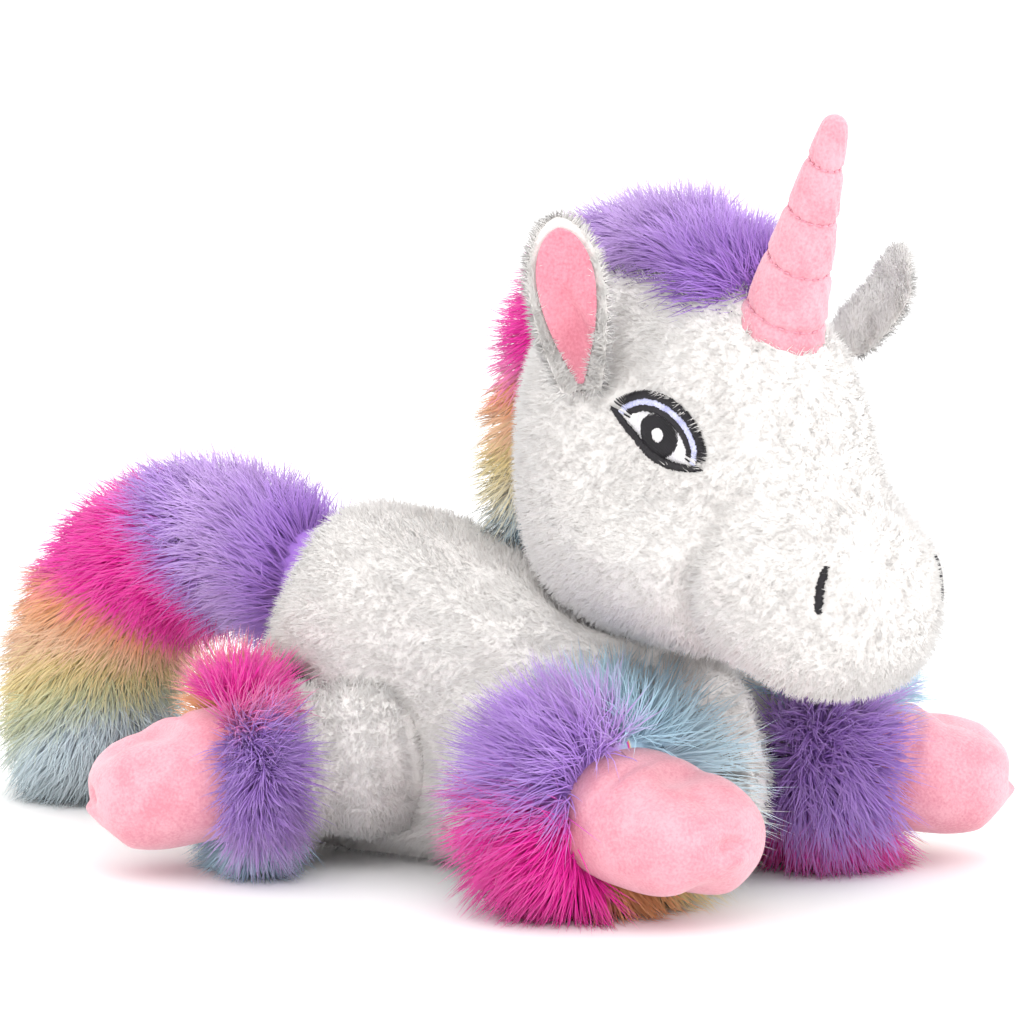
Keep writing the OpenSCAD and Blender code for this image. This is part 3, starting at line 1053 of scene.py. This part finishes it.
@dataclass
class Horn:
    """The padded horn: a cone of pink minky with stitched grooves that pull it into puffs."""

    root: tuple[float, float, float] = (0.0, -74.0, 250.0)
    lean: float = 22.0
    length: float = 108.0
    base_r: float = 20.0
    tip_r: float = 5.5
    grooves: int = 4
    tilt: float = 8.0
    puff: float = 0.5

    @property
    def place(self) -> Matrix:
        """From the horn's frame to the toy's."""
        return HEAD_PLACE @ Matrix.Translation(self.root) @ Matrix.Rotation(radians(self.lean), 4, "X")

    def groove_height(self, k: int) -> float:
        """Height of groove k above the root."""
        return self.length * (k - 0.35) / (self.grooves + 0.6)

    def radius(self, height: float) -> float:
        """Radius of the plain cone at a height."""
        return self.base_r + (self.tip_r - self.base_r) * height / (self.length - self.tip_r)

    def pinch(self, at: Points, normals: Points) -> Points:
        """Pull the fabric in at each groove and let it puff out between them."""
        level = at[:, 2] - np.tan(radians(self.tilt)) * at[:, 1]
        depth = np.full(len(at), -self.puff)
        for k in range(1, self.grooves + 1):
            depth += (self.puff + 1.2) * np.exp(-(((level - self.groove_height(k)) / 1.9) ** 2))
        fade = ((at[:, 2] + 4) / 6).clip(0, 1) * ((self.length - at[:, 2]) / 8).clip(0, 1)
        wrinkle = 0.35 * np.sin(np.arctan2(at[:, 1], at[:, 0]) * 13 + level * 0.4)
        away = np.column_stack([at[:, :2], np.zeros(len(at))])
        return at - unit(away) * ((depth + wrinkle) * fade)[:, None]

    def build(self, cloths: Cloths) -> None:
        """Spin the cone, pinch it, and sew its grooves.

        Args:
            cloths: The materials.
        """
        bm = bmesh.new()
        tip = self.length - self.tip_r
        outline = [(0.0, -5.0), (self.base_r * 0.8, -5.0), (self.base_r, -3.5)]
        outline += [(self.radius(h), h) for h in np.linspace(-1.0, tip, 64)]
        outline += [(self.tip_r * cos(a), tip + self.tip_r * sin(a)) for a in np.linspace(0.25, 1.45, 6)]
        outline += [(0.0, self.length)]
        corners = [bm.verts.new((r, 0.0, h)) for r, h in outline]
        edges = [bm.edges.new(pair) for pair in zip(corners, corners[1:])]
        bmesh.ops.spin(bm, geom=corners + edges, cent=(0, 0, 0), axis=(0, 0, 1), angle=2 * pi, steps=64,
                       use_merge=True)
        bmesh.ops.remove_doubles(bm, verts=bm.verts, dist=0.001)
        bmesh.ops.recalc_face_normals(bm, faces=bm.faces)
        work(bm, [self.pinch])
        Skin("horn_skin", "head", bm, self.place).dress(
            Slot.MINKY, cloths.minky, ("horn_cover", "horn_filling"), 0.9)
        self.sew(cloths)

    def sew(self, cloths: Cloths) -> None:
        """Lay a row of short stitches in every groove.

        Args:
            cloths: The materials.
        """
        bm = bmesh.new()
        for k in range(1, self.grooves + 1):
            height = self.groove_height(k)
            r = self.radius(height) - 0.7
            count = int(2 * pi * r / 3.2)
            for i in range(count):
                a = 2 * pi * i / count
                y = r * sin(a)
                spot = Matrix.Translation((r * cos(a), y, height + np.tan(radians(self.tilt)) * y))
                turn = Matrix.Rotation(a, 4, "Z") @ Matrix.Rotation(pi / 2, 4, "X")
                bmesh.ops.create_cone(bm, cap_ends=True, segments=6, radius1=0.45, radius2=0.45,
                                      depth=2.4, matrix=spot @ turn)
        Skin("horn_seam_stitches", "head", bm, self.place).dress(
            Slot.PINK_THREAD, cloths.pink, ("horn_stitching",), None)


@dataclass
class Mane:
    """The crest of long pile from behind the horn over the crown and down the nape."""

    centre_z: float = 198.0
    reach: float = 88.0
    front: float = 54.0
    back: float = 168.0
    low: tuple[float, float] = (97.0, 150.0)
    half_w: float = 22.0
    dye: tuple[tuple[float, str], ...] = (
        (0.0, VIOLET), (0.1, PURPLE), (0.25, MAUVE), (0.36, PURPLE), (0.45, ROSE), (0.52, HOT_PINK),
        (0.62, HOT_PINK), (0.68, ROSE), (0.73, ORANGE), (0.79, PEACH), (0.84, YELLOW), (0.9, CREAM),
        (0.95, MIST), (1.0, SKY))

    def track(self, at: Points) -> Points:
        """Place in the dye, by the angle round the crown and then down the nape."""
        own = moved(at, HEAD_PLACE.inverted())
        angle = np.degrees(np.arctan2(own[:, 2] - self.centre_z, -own[:, 1]))
        angle = np.where(angle < -90, angle + 360, angle)
        return ((angle - self.front) / (212 - self.front)).clip(0, 1)

    def brush(self, at: Points) -> Points:
        """The pile falls backwards over the crown, and down and outwards at the nape."""
        own = moved(at, HEAD_PLACE.inverted())
        angle = np.arctan2(own[:, 2] - self.centre_z, -own[:, 1])
        angle = np.where(angle < -pi / 2, angle + 2 * pi, angle)
        flow = np.column_stack([own[:, 0] / self.half_w * 0.6, np.sin(angle), np.cos(angle)])
        turn = np.array(HEAD_PLACE.to_3x3())
        return unit(flow @ turn.T)

    def build(self, cloths: Cloths) -> None:
        """Make the ground and the pile.

        Args:
            cloths: The materials.
        """
        rows = []
        for a in np.linspace(self.front, self.back, 16):
            y, z = -self.reach * cos(radians(a)), self.centre_z + self.reach * sin(radians(a))
            rows.append((0.0, y, z, self.half_w, 11.0))
        rows += [(0.0, self.low[0] - 2, self.low[1] + 24, self.half_w, 10.0),
                 (0.0, *self.low, self.half_w * 0.8, 8.0)]
        first, last = rows[0], rows[-1]
        rows = [(0.0, first[1] - 6, first[2] - 6, 0.0, 0.0), *rows, (0.0, last[1] - 1, last[2] - 7, 0.0, 0.0)]
        bm = Form(tuple(rows), segments=40, rings=80).build()
        skin = Skin("mane_ground", "head", bm, HEAD_PLACE)
        cloth = cloths.dyed("mane", self.dye)
        pile = Pile(21.0, 0.8, 12400, 31, 3, lean=0.6, ruffle=0.4, sag=0.12, lock_mm=11.0)
        skin.add_pile("mane_pile", pile, cloth, self.track, self.brush,
                      keep=self.outside, stands_for=("mane",))
        skin.dress(Slot.RAINBOW, cloth, (), 0.5, self.track)

    def outside(self, at: Points) -> Points:
        """Only the outer side of the ground carries pile."""
        own = moved(at, HEAD_PLACE.inverted())
        far = np.hypot(own[:, 1], own[:, 2] - self.centre_z)
        return np.where((far > self.reach - 6) | (own[:, 2] < 180), 1.0, 0.02)


@dataclass
class Ear:
    """A leaf-shaped ear, cupped round a fold, with a pink lining."""

    side: Side
    root: tuple[float, float, float] = (67.0, -22.0, 229.0)
    tilt: float = 10.0
    turn: float = 35.0
    length: float = 76.0
    half_w: float = 20.0
    cup: float = 13.0

    @property
    def place(self) -> Matrix:
        """From the ear's frame to the toy's."""
        s = self.side.value
        root = Matrix.Translation((s * self.root[0], self.root[1], self.root[2]))
        tilt = Matrix.Rotation(radians(s * self.tilt), 4, "Y")
        return HEAD_PLACE @ root @ tilt @ Matrix.Rotation(radians(s * self.turn), 4, "Z")

    def sheet(self, share: float, lift: float, thick: float, foot: float) -> bmesh.types.BMesh:
        """A cupped leaf with thickness.

        Args:
            share: Size against the full outline.
            lift: Distance towards the opening.
            thick: Thickness of the fabric.
            foot: Share of the width at the root.

        Returns:
            A closed mesh.
        """
        rows = []
        heights = np.linspace(-3 if foot > 0.3 else 1, self.length * (0.55 + 0.45 * share), 26)
        span = heights[-1] - heights[0]
        for h in heights:
            v = (h - heights[0]) / span
            w = self.half_w * share * (foot + (1.75 - foot) * v - 0.5 * v**2) * (max(1 - v**2.8, 0.0)) ** 0.6
            rows.append((0.0, -lift, h, w, thick / 2))
        bm = Form(tuple(rows), segments=48, rings=56).build([self.fold], 1)
        return bm

    def middle(self, at: Points) -> Points:
        """How far back the sheet's middle lies: both edges come forward, and one side laps over the other."""
        v = (at[:, 2] / self.length).clip(0, 1)
        bend = self.cup * (1.5 - 0.8 * v) * np.abs(at[:, 0] / self.half_w) ** 1.2
        lap = -self.side.value * at[:, 0] + 3 - 0.43 * (52 - at[:, 2])
        bend += 3.0 / (1 + np.exp(-lap / 0.9)) * ((56 - at[:, 2]) / 8).clip(0, 1)
        return 5 * (1 - v) + 4 * v**2 - bend

    def fold(self, at: Points, normals: Points) -> Points:
        """Bend the sheet round its fold and narrow its root."""
        v = (at[:, 2] / self.length).clip(0, 1)
        tuck = 1 - 0.22 * (1 - v) * np.abs(at[:, 0] / self.half_w)
        return np.column_stack([at[:, 0] * tuck, at[:, 1] + self.middle(at), at[:, 2]])

    def build(self, cloths: Cloths) -> None:
        """Make the ear's back, lining and pile.

        Args:
            cloths: The materials.
        """
        word = self.side.word
        body = f"ear_{word}"
        back = Skin(f"ear_back_skin_{word}", body, self.sheet(1.0, -1.5, 5.0, 0.45), self.place)
        inverse = self.place.inverted()
        pile = Pile(5.5, 0.75, 8000, 41 + self.side.value, lean=0.5, ruffle=0.45, lock_mm=8.0)

        def shell(at: Points) -> Points:
            """Pile stands on the back and round the edges, not under the lining."""
            own = moved(at, inverse)
            v = (own[:, 2] / self.length).clip(0, 1)
            lining_w = self.half_w * 0.86 * (0.1 + 1.65 * v - 0.5 * v**2) * (1 - v**2.8) ** 0.6
            edge = np.abs(own[:, 0]) > lining_w
            front = own[:, 1] < self.middle(own) + 1.5
            return np.where(front & ~edge, 0.0, 1.0)

        def outwards(at: Points) -> Points:
            """The nap lies up the ear and out over its edges."""
            own = moved(at, inverse)
            flow = np.column_stack([own[:, 0] / self.half_w, np.zeros(len(at)), np.full(len(at), 0.6)])
            return unit(flow @ np.array(self.place.to_3x3()).T)

        back.add_pile(f"ear_pile_{word}", pile, cloths.plush_pile, cloudy(43), outwards, shell)
        back.dress(Slot.PLUSH, cloths.plush, (f"ear_back_{word}",), 0.3)
        lining = Skin(f"ear_lining_skin_{word}", body, self.sheet(0.88, 2.6, 3.4, 0.06), self.place)
        lining.dress(Slot.MINKY, cloths.lining, (f"ear_lining_{word}",), 0.3)


# ---- legs ----------------------------------------------------------------------------------


@dataclass
class Leg:
    """A leg in its own frame: from its pivot along +Z, with the toy's up along -X."""

    name: str
    side: Side
    pivot: tuple[float, float, float]
    azimuth: float
    pitch: float
    dye: tuple[tuple[float, str], ...]
    seed: int
    root_r: float = 37.0
    leg_r: float = 33.0
    cuff_r: float = 39.0
    hoof_r: float = 34.0
    hoof_end: float = 128.0
    fuller: float = 0.0
    cuff_start: float = 46.0
    pile: float = 25.0
    swept: float = 0.35
    splay: float = 0.0

    @property
    def body(self) -> str:
        """Name of the leg's body."""
        return f"{self.name}_leg_{self.side.word}"

    @property
    def place(self) -> Matrix:
        """From the leg's frame to the toy's."""
        turn = Matrix.Rotation(radians(self.azimuth), 4, "Z")
        return Matrix.Translation(self.pivot) @ turn @ Matrix.Rotation(radians(90 + self.pitch), 4, "Y")

    def press_socket(self, at: Points, normals: Points) -> Points:
        """Hollow the torso where the leg comes out, so that it can swing."""
        own = moved(at, self.place.inverted())
        off = np.hypot(own[:, 0], own[:, 1])
        mouth = 24 + own[:, 2] * 0.76
        inside = ((mouth - off) / 14).clip(0, 1) * (own[:, 2] > 0)
        floor = np.sqrt((39.0**2 - off**2).clip(0))
        target = np.minimum(own[:, 2], np.maximum(floor, own[:, 2] - 30))
        own[:, 2] += (target - own[:, 2]) * inside * 0.85
        return moved(own, self.place)

    def sector(self, at: Points) -> Points:
        """Place in the dye: the angle round the leg from the top."""
        own = moved(at, self.place.inverted())
        return np.arctan2(own[:, 1], -own[:, 0]) / (2 * pi) % 1.0

    def grown(self, at: Points) -> Points:
        """Share of the pile's length: it is fuller on the inner side and shorter on top."""
        angle = self.sector(at)
        top = np.minimum(angle, 1 - angle)
        longer = np.exp(-(((angle - 0.22) / 0.09) ** 2))
        shorter = 0.35 * np.exp(-((top / 0.09) ** 2))
        return 1 + self.fuller * (longer - shorter)

    def brush(self, at: Points) -> Points:
        """The pile spreads from the cuff: out, and away from its middle."""
        own = moved(at, self.place.inverted())
        low = (own[:, 0] / self.cuff_r).clip(-1, 1)
        back = ((own[:, 2] - 72) / 14).clip(-1.0, -0.3) * self.swept * (0.5 - 0.5 * low)
        flow = np.column_stack([own[:, 0] / 55 + 0.2, own[:, 1] / 50, back + 0.5 * low.clip(0)])
        return unit(flow @ np.array(self.place.to_3x3()).T)

    def toe(self, at: Points, normals: Points) -> Points:
        """Part the toe into two lobes and press its dimples."""
        z = ((at[:, 2] - 84) / 30).clip(0, 1) * ((self.hoof_end - 2 - at[:, 2]) / 12).clip(0, 1)
        y = at[:, 1]
        cleft = 4.0 * np.exp(-((y / 8.0) ** 2)) * z
        lobes = 2.5 * (np.exp(-(((np.abs(y) - 17) / 11) ** 2))) * z
        return at + normals * (lobes - cleft)[:, None]

    def flat_sole(self, at: Points, normals: Points) -> Points:
        """Flatten what would reach below the floor."""
        world = moved(at, self.place)
        world[:, 2] = world[:, 2].clip(0.4)
        return moved(world, self.place.inverted())

    def build(self, cloths: Cloths) -> None:
        """Make the cover, hoof and cuff.

        Args:
            cloths: The materials.
        """
        word, r = self.side.word, self.root_r
        ball = tuple((0.0, 0.0, -r * cos(radians(a)), r * sin(radians(a)), r * sin(radians(a)))
                     for a in range(0, 121, 10))
        neck = tuple((0.0, 0.0, z, w, w)
                     for z, w in ((30.0, self.leg_r), (44.0, self.leg_r), (58.0, 30.0), (62.0, 0.0)))
        side = (0.0, 1.0, 0.0)
        cover = Skin(f"{self.name}_leg_skin_{word}", self.body,
                     Form(ball + neck, side, segments=56, rings=48).build([self.flat_sole]), self.place)
        pile = Pile(5.6, 0.95, 8000, self.seed, lean=0.45, ruffle=0.45, lock_mm=9.0)
        cover.add_pile(f"{self.name}_leg_pile_{word}", pile, cloths.plush_pile,
                       cloudy(self.seed + 1), None, self.showing)
        cover.dress(Slot.PLUSH, cloths.plush,
                    (f"{self.name}_leg_cover_{word}", f"{self.name}_filling_{word}"), 0.8)
        self.build_hoof(cloths)
        self.build_cuff(cloths)

    def showing(self, at: Points) -> Points:
        """Pile is needed only between the torso and the cuff."""
        own = moved(at, self.place.inverted())
        bare = (own[:, 2] > 46) | ((own[:, 2] < -12) & (self.name == "hind"))
        return np.where(bare, 0.03, 1.0)

    def build_hoof(self, cloths: Cloths) -> None:
        """Make the stuffed hoof.

        Args:
            cloths: The materials.
        """
        r, end, far = self.hoof_r, self.hoof_end, self.splay
        rows = ((0.0, 0.0, 48.0, 0.0, 0.0), (0.0, 0.0, 50.0, 24.0, 22.0), (0.0, 0.0, 60.0, r - 2, r - 6),
                (1.0, 0.0, 74.0, r + 2, r - 5), (3.0, far * 0.3, 90.0, r + 3, r - 6),
                (5.0, far * 0.8, 106.0, r, r - 9), (6.0, far, 118.0, r - 6, r - 14),
                (7.0, far, end - 2, r - 16, r - 22), (7.0, far, end, 0.0, 0.0))
        sculpt: list[Sculpt] = [
            self.toe, Swell((-26, 10, 100), (14, 10, 12), -3.0), Swell((-20, -14, 112), (12, 10, 12), -2.0),
            Crease((0, 0, 72), (0.35, 0.2, 1), 3.0, 2.0, (-20, -20, 74), 24.0),
            Crease((0, 0, 92), (0.2, 0.3, 1), 6.0, 3.2, (-24, 0, 92), 26.0),
            Crease((0, 0, 80), (-0.8, 0.3, 0.5), 3.5, 2.4, (10, -28, 72), 20.0), self.flat_sole]
        bm = Form(rows, (0.0, 1.0, 0.0), 2.2, 80, 72).build(sculpt)
        Skin(f"{self.name}_hoof_skin_{self.side.word}", self.body, bm, self.place).dress(
            Slot.MINKY, cloths.minky, (f"{self.name}_hoof_{self.side.word}",), 0.75)

    def build_cuff(self, cloths: Cloths) -> None:
        """Make the cuff's ground and its long pile.

        Args:
            cloths: The materials.
        """
        r, word = self.cuff_r, self.side.word
        low = self.cuff_start
        ring = ((low - 2, 0.0), (low, r - 8), (low + 7, r - 1), (52.0, r), (57.0, r - 1), (63.0, r - 7),
                (65.0, 0.0))
        rows = tuple((0.0, 0.0, z, w, w) for z, w in ring)
        bm = Form(rows, (0.0, 1.0, 0.0), segments=64, rings=36).build([self.flat_sole])
        skin = Skin(f"{self.name}_cuff_ground_{word}", self.body, bm, self.place)
        cloth = cloths.dyed(self.body, self.dye)
        pile = Pile(self.pile, 0.85, 9200, self.seed + 2, 3, lean=0.5, ruffle=0.4, sag=0.2, lock_mm=10.0)
        skin.add_pile(f"{self.name}_cuff_pile_{word}", pile, cloth, self.sector,
                      self.brush, self.rim, self.grown, (f"{self.name}_cuff_{word}",))
        skin.dress(Slot.RAINBOW, cloth, (), 0.5, self.sector)

    def rim(self, at: Points) -> Points:
        """Pile stands on the outside of the cuff, not on the ends hidden by leg and hoof."""
        own = moved(at, self.place.inverted())
        return np.where(np.hypot(own[:, 0], own[:, 1]) > self.leg_r - 3, 1.0, 0.0)


FRONT_DYE = ((0.0, SKY), (0.06, SKY), (0.24, MIST), (0.32, CREAM), (0.38, YELLOW), (0.45, ORANGE),
             (0.53, ORANGE), (0.58, HOT_PINK), (0.74, HOT_PINK), (0.8, PURPLE), (0.92, PURPLE),
             (0.97, MAUVE), (1.0, SKY))
FAR_FRONT_DYE = ((0.0, SKY), (0.14, SKY), (0.24, CREAM), (0.32, YELLOW), (0.4, ORANGE), (0.48, HOT_PINK),
                 (0.6, HOT_PINK), (0.68, PURPLE), (0.84, PURPLE), (0.89, MAUVE), (0.93, SKY), (1.0, SKY))
HIND_DYE = ((0.0, HOT_PINK), (0.08, HOT_PINK), (0.12, ROSE), (0.16, PURPLE), (0.31, PURPLE), (0.36, MAUVE),
            (0.41, SKY), (0.6, SKY), (0.7, YELLOW), (0.8, ORANGE), (0.92, ORANGE), (1.0, HOT_PINK))


@dataclass
class Tail:
    """The tail: it leaves the rump, arches over and falls to the floor."""

    root: tuple[float, float] = (98.0, 112.0)
    bend: tuple[float, float] = (161.2, 43.5)
    bend_r: float = 86.0
    core_r: float = 29.0
    dye: tuple[tuple[float, str], ...] = (
        (0.0, VIOLET), (0.08, PURPLE), (0.18, MAUVE), (0.27, PURPLE), (0.33, HOT_PINK), (0.47, HOT_PINK),
        (0.53, ORANGE), (0.61, PEACH), (0.67, YELLOW), (0.74, "#D8DDB0"), (0.83, MIST), (1.0, "#B4C0C4"))

    def track(self, at: Points) -> Points:
        """Place in the dye: along the arch, with the inside of the bend ahead of the outside."""
        angle = np.degrees(np.arctan2(at[:, 2] - self.bend[1], at[:, 1] - self.bend[0]))
        inner = (self.bend_r - np.hypot(at[:, 1] - self.bend[0], at[:, 2] - self.bend[1])) / 34
        arch = (135 - angle.clip(0, 180)) / 135 * 0.78
        down = ((self.bend[1] - at[:, 2]) / self.bend[1]).clip(0, 1) * 0.22
        return (arch + down + 0.1 * inner).clip(0, 1)

    def brush(self, at: Points) -> Points:
        """The pile runs along the arch and then down."""
        y, z = at[:, 1] - self.bend[0], at[:, 2] - self.bend[1]
        angle = np.arctan2(z, y).clip(0, pi)
        angle = np.where(z < 0, 0.0, angle)
        return np.column_stack([at[:, 0] / 70, np.sin(angle), -np.cos(angle)])

    def build(self, cloths: Cloths) -> None:
        """Make the ground and the pile in two halves.

        Args:
            cloths: The materials.
        """
        rows = [(0.0, self.root[0] - 20, self.root[1] - 6, 0.0, 0.0), (0.0, *self.root, 22.0, 22.0),
                (0.0, self.root[0] + 18, self.root[1] + 8, 24.0, 24.0)]
        for a in np.linspace(110, 0, 14):
            y = self.bend[0] + self.bend_r * cos(radians(a))
            z = self.bend[1] + self.bend_r * sin(radians(a))
            grown = min(1.0, 0.78 + 0.22 * (110 - a) / 30)
            rows.append((0.0, y, z, self.core_r * grown, self.core_r * grown))
        end_y = self.bend[0] + self.bend_r
        rows += [(0.0, end_y, 24.0, 28.0, 28.0), (0.0, end_y, 10.0, 19.0, 19.0), (0.0, end_y, 5.0, 0.0, 0.0)]
        bm = Form(tuple(rows), segments=56, rings=96).build()
        skin = Skin("tail_ground", "tail", bm)
        cloth = cloths.dyed("tail", self.dye)
        halves = {"root": lambda at: (self.track(at) < 0.45) * self.clear(at),
                  "tip": lambda at: (self.track(at) >= 0.45) * 1.0}
        nodes = {"root": ("tail_fur",), "tip": ("tail_filling",)}
        for number, (half, keep) in enumerate(halves.items()):
            pile = Pile(24.0, 0.9, 11400, 61 + number, 3, lean=0.68, ruffle=0.4, sag=0.1, lock_mm=12.0)
            skin.add_pile(f"tail_pile_{half}", pile, cloth, self.track, self.brush,
                          keep, stands_for=nodes[half])
        skin.dress(Slot.RAINBOW, cloth, (), 0.5, self.track)

    def clear(self, at: Points) -> Points:
        """No pile inside the rump."""
        return np.where(at[:, 1] > 108, 1.0, 0.0)


# ---- studio --------------------------------------------------------------------------------


@dataclass
class Studio:
    """A pale floor, soft light and the camera."""

    azimuth: float = -53.0
    elevation: float = 8.0
    distance: float = 2.4
    span: float = 0.461
    target: tuple[float, float, float] = (-0.020, -0.023, 0.164)
    sensor: float = 36.0

    def back(self) -> Vector:
        """Direction from the toy to the camera."""
        a, e = radians(self.azimuth), radians(self.elevation)
        return Vector((sin(a) * cos(e), -cos(a) * cos(e), sin(e)))

    def make_camera(self) -> None:
        """Place the camera."""
        data = bpy.data.cameras.new("camera")
        camera = bpy.data.objects.new("camera", data)
        bpy.context.scene.collection.objects.link(camera)
        data.sensor_width = self.sensor
        data.lens = self.sensor * self.distance / self.span
        camera.location = Vector(self.target) + self.back() * self.distance
        camera.rotation_mode = "QUATERNION"
        camera.rotation_quaternion = (-self.back()).to_track_quat("-Z", "Y")
        bpy.context.scene.camera = camera

    def add_light(self, name: str, at: tuple[float, float, float], size: float, power: float) -> None:
        """Hang one soft area light, facing the toy.

        Args:
            name: Its name.
            at: Its place in metres.
            size: Width of the square panel.
            power: Watts.
        """
        data = bpy.data.lights.new(name, "AREA")
        data.shape, data.size, data.energy = "SQUARE", size, power
        light = bpy.data.objects.new(name, data)
        bpy.context.scene.collection.objects.link(light)
        light.location = at
        aim = Vector((0.0, 0.0, 0.12)) - Vector(at)
        light.rotation_mode = "QUATERNION"
        light.rotation_quaternion = aim.to_track_quat("-Z", "Y")

    def build(self) -> None:
        """Make the floor, lights and surroundings."""
        bm = bmesh.new()
        bmesh.ops.create_grid(bm, x_segments=1, y_segments=1, size=12.0)
        mesh = bpy.data.meshes.new("floor")
        bm.to_mesh(mesh)
        bm.free()
        floor = bpy.data.objects.new("floor", mesh)
        bpy.context.scene.collection.objects.link(floor)
        paper = bpy.data.materials.new("paper_matt_white")
        paper.use_nodes = True
        shader = paper.node_tree.nodes["Principled BSDF"]
        shader.inputs["Base Color"].default_value = linear("#F8F8F8")
        shader.inputs["Roughness"].default_value = 1.0
        shader.inputs["Specular IOR Level"].default_value = 0.0
        mesh.materials.append(paper)
        world = bpy.data.worlds.new("studio")
        world.use_nodes = True
        world.node_tree.nodes["Background"].inputs[0].default_value = (1.0, 1.0, 1.0, 1.0)
        world.node_tree.nodes["Background"].inputs[1].default_value = 1.5
        bpy.context.scene.world = world
        bpy.context.scene.view_settings.view_transform = "Standard"
        self.add_light("key", (-1.3, -1.5, 2.2), 1.6, 14.0)
        self.add_light("fill", (0.9, -2.0, 1.2), 1.6, 9.0)
        self.add_light("rim", (0.4, 1.8, 2.2), 1.6, 6.0)


def main() -> None:
    """Build the toy part by part."""
    logging.basicConfig(level=logging.INFO, format="%(message)s")
    studio = Studio()
    studio.make_camera()
    cloths = Cloths()
    legs = [
        Leg("front", Side.RIGHT, (-52, -58, 48), 256, 2, FRONT_DYE, 101, cuff_start=22.0, pile=33.0,
            swept=1.0, splay=6.0, fuller=0.4),
        Leg("front", Side.LEFT, (62, -86, 48), 304, 2, FAR_FRONT_DYE, 111, cuff_start=26.0, pile=30.0,
            swept=-0.7),
        Leg("hind", Side.RIGHT, (-48, 38, 52), 140, 5, HIND_DYE, 121),
        Leg("hind", Side.LEFT, (48, 38, 52), 40, 5, HIND_DYE, 131),
    ]
    Torso().build(cloths, legs)
    head = Head().build(cloths)
    for side in Side:
        Eye(side).build(head, cloths)
        Nostril(side).build(head, cloths)
    nodes = ("head_side_left", "head_side_right", "head_centre_panel", "muzzle_panel", "chin_panel",
             "head_filling")
    head.dress(Slot.PLUSH, cloths.plush, nodes, 0.9)
    Horn().build(cloths)
    Mane().build(cloths)
    Ear(Side.RIGHT, tilt=10.0).build(cloths)
    Ear(Side.LEFT, tilt=46.0, turn=62.0, length=68.0, half_w=23.0).build(cloths)
    for leg in legs:
        leg.build(cloths)
    Tail().build(cloths)
    studio.build()


if __name__ == "__main__":
    main()
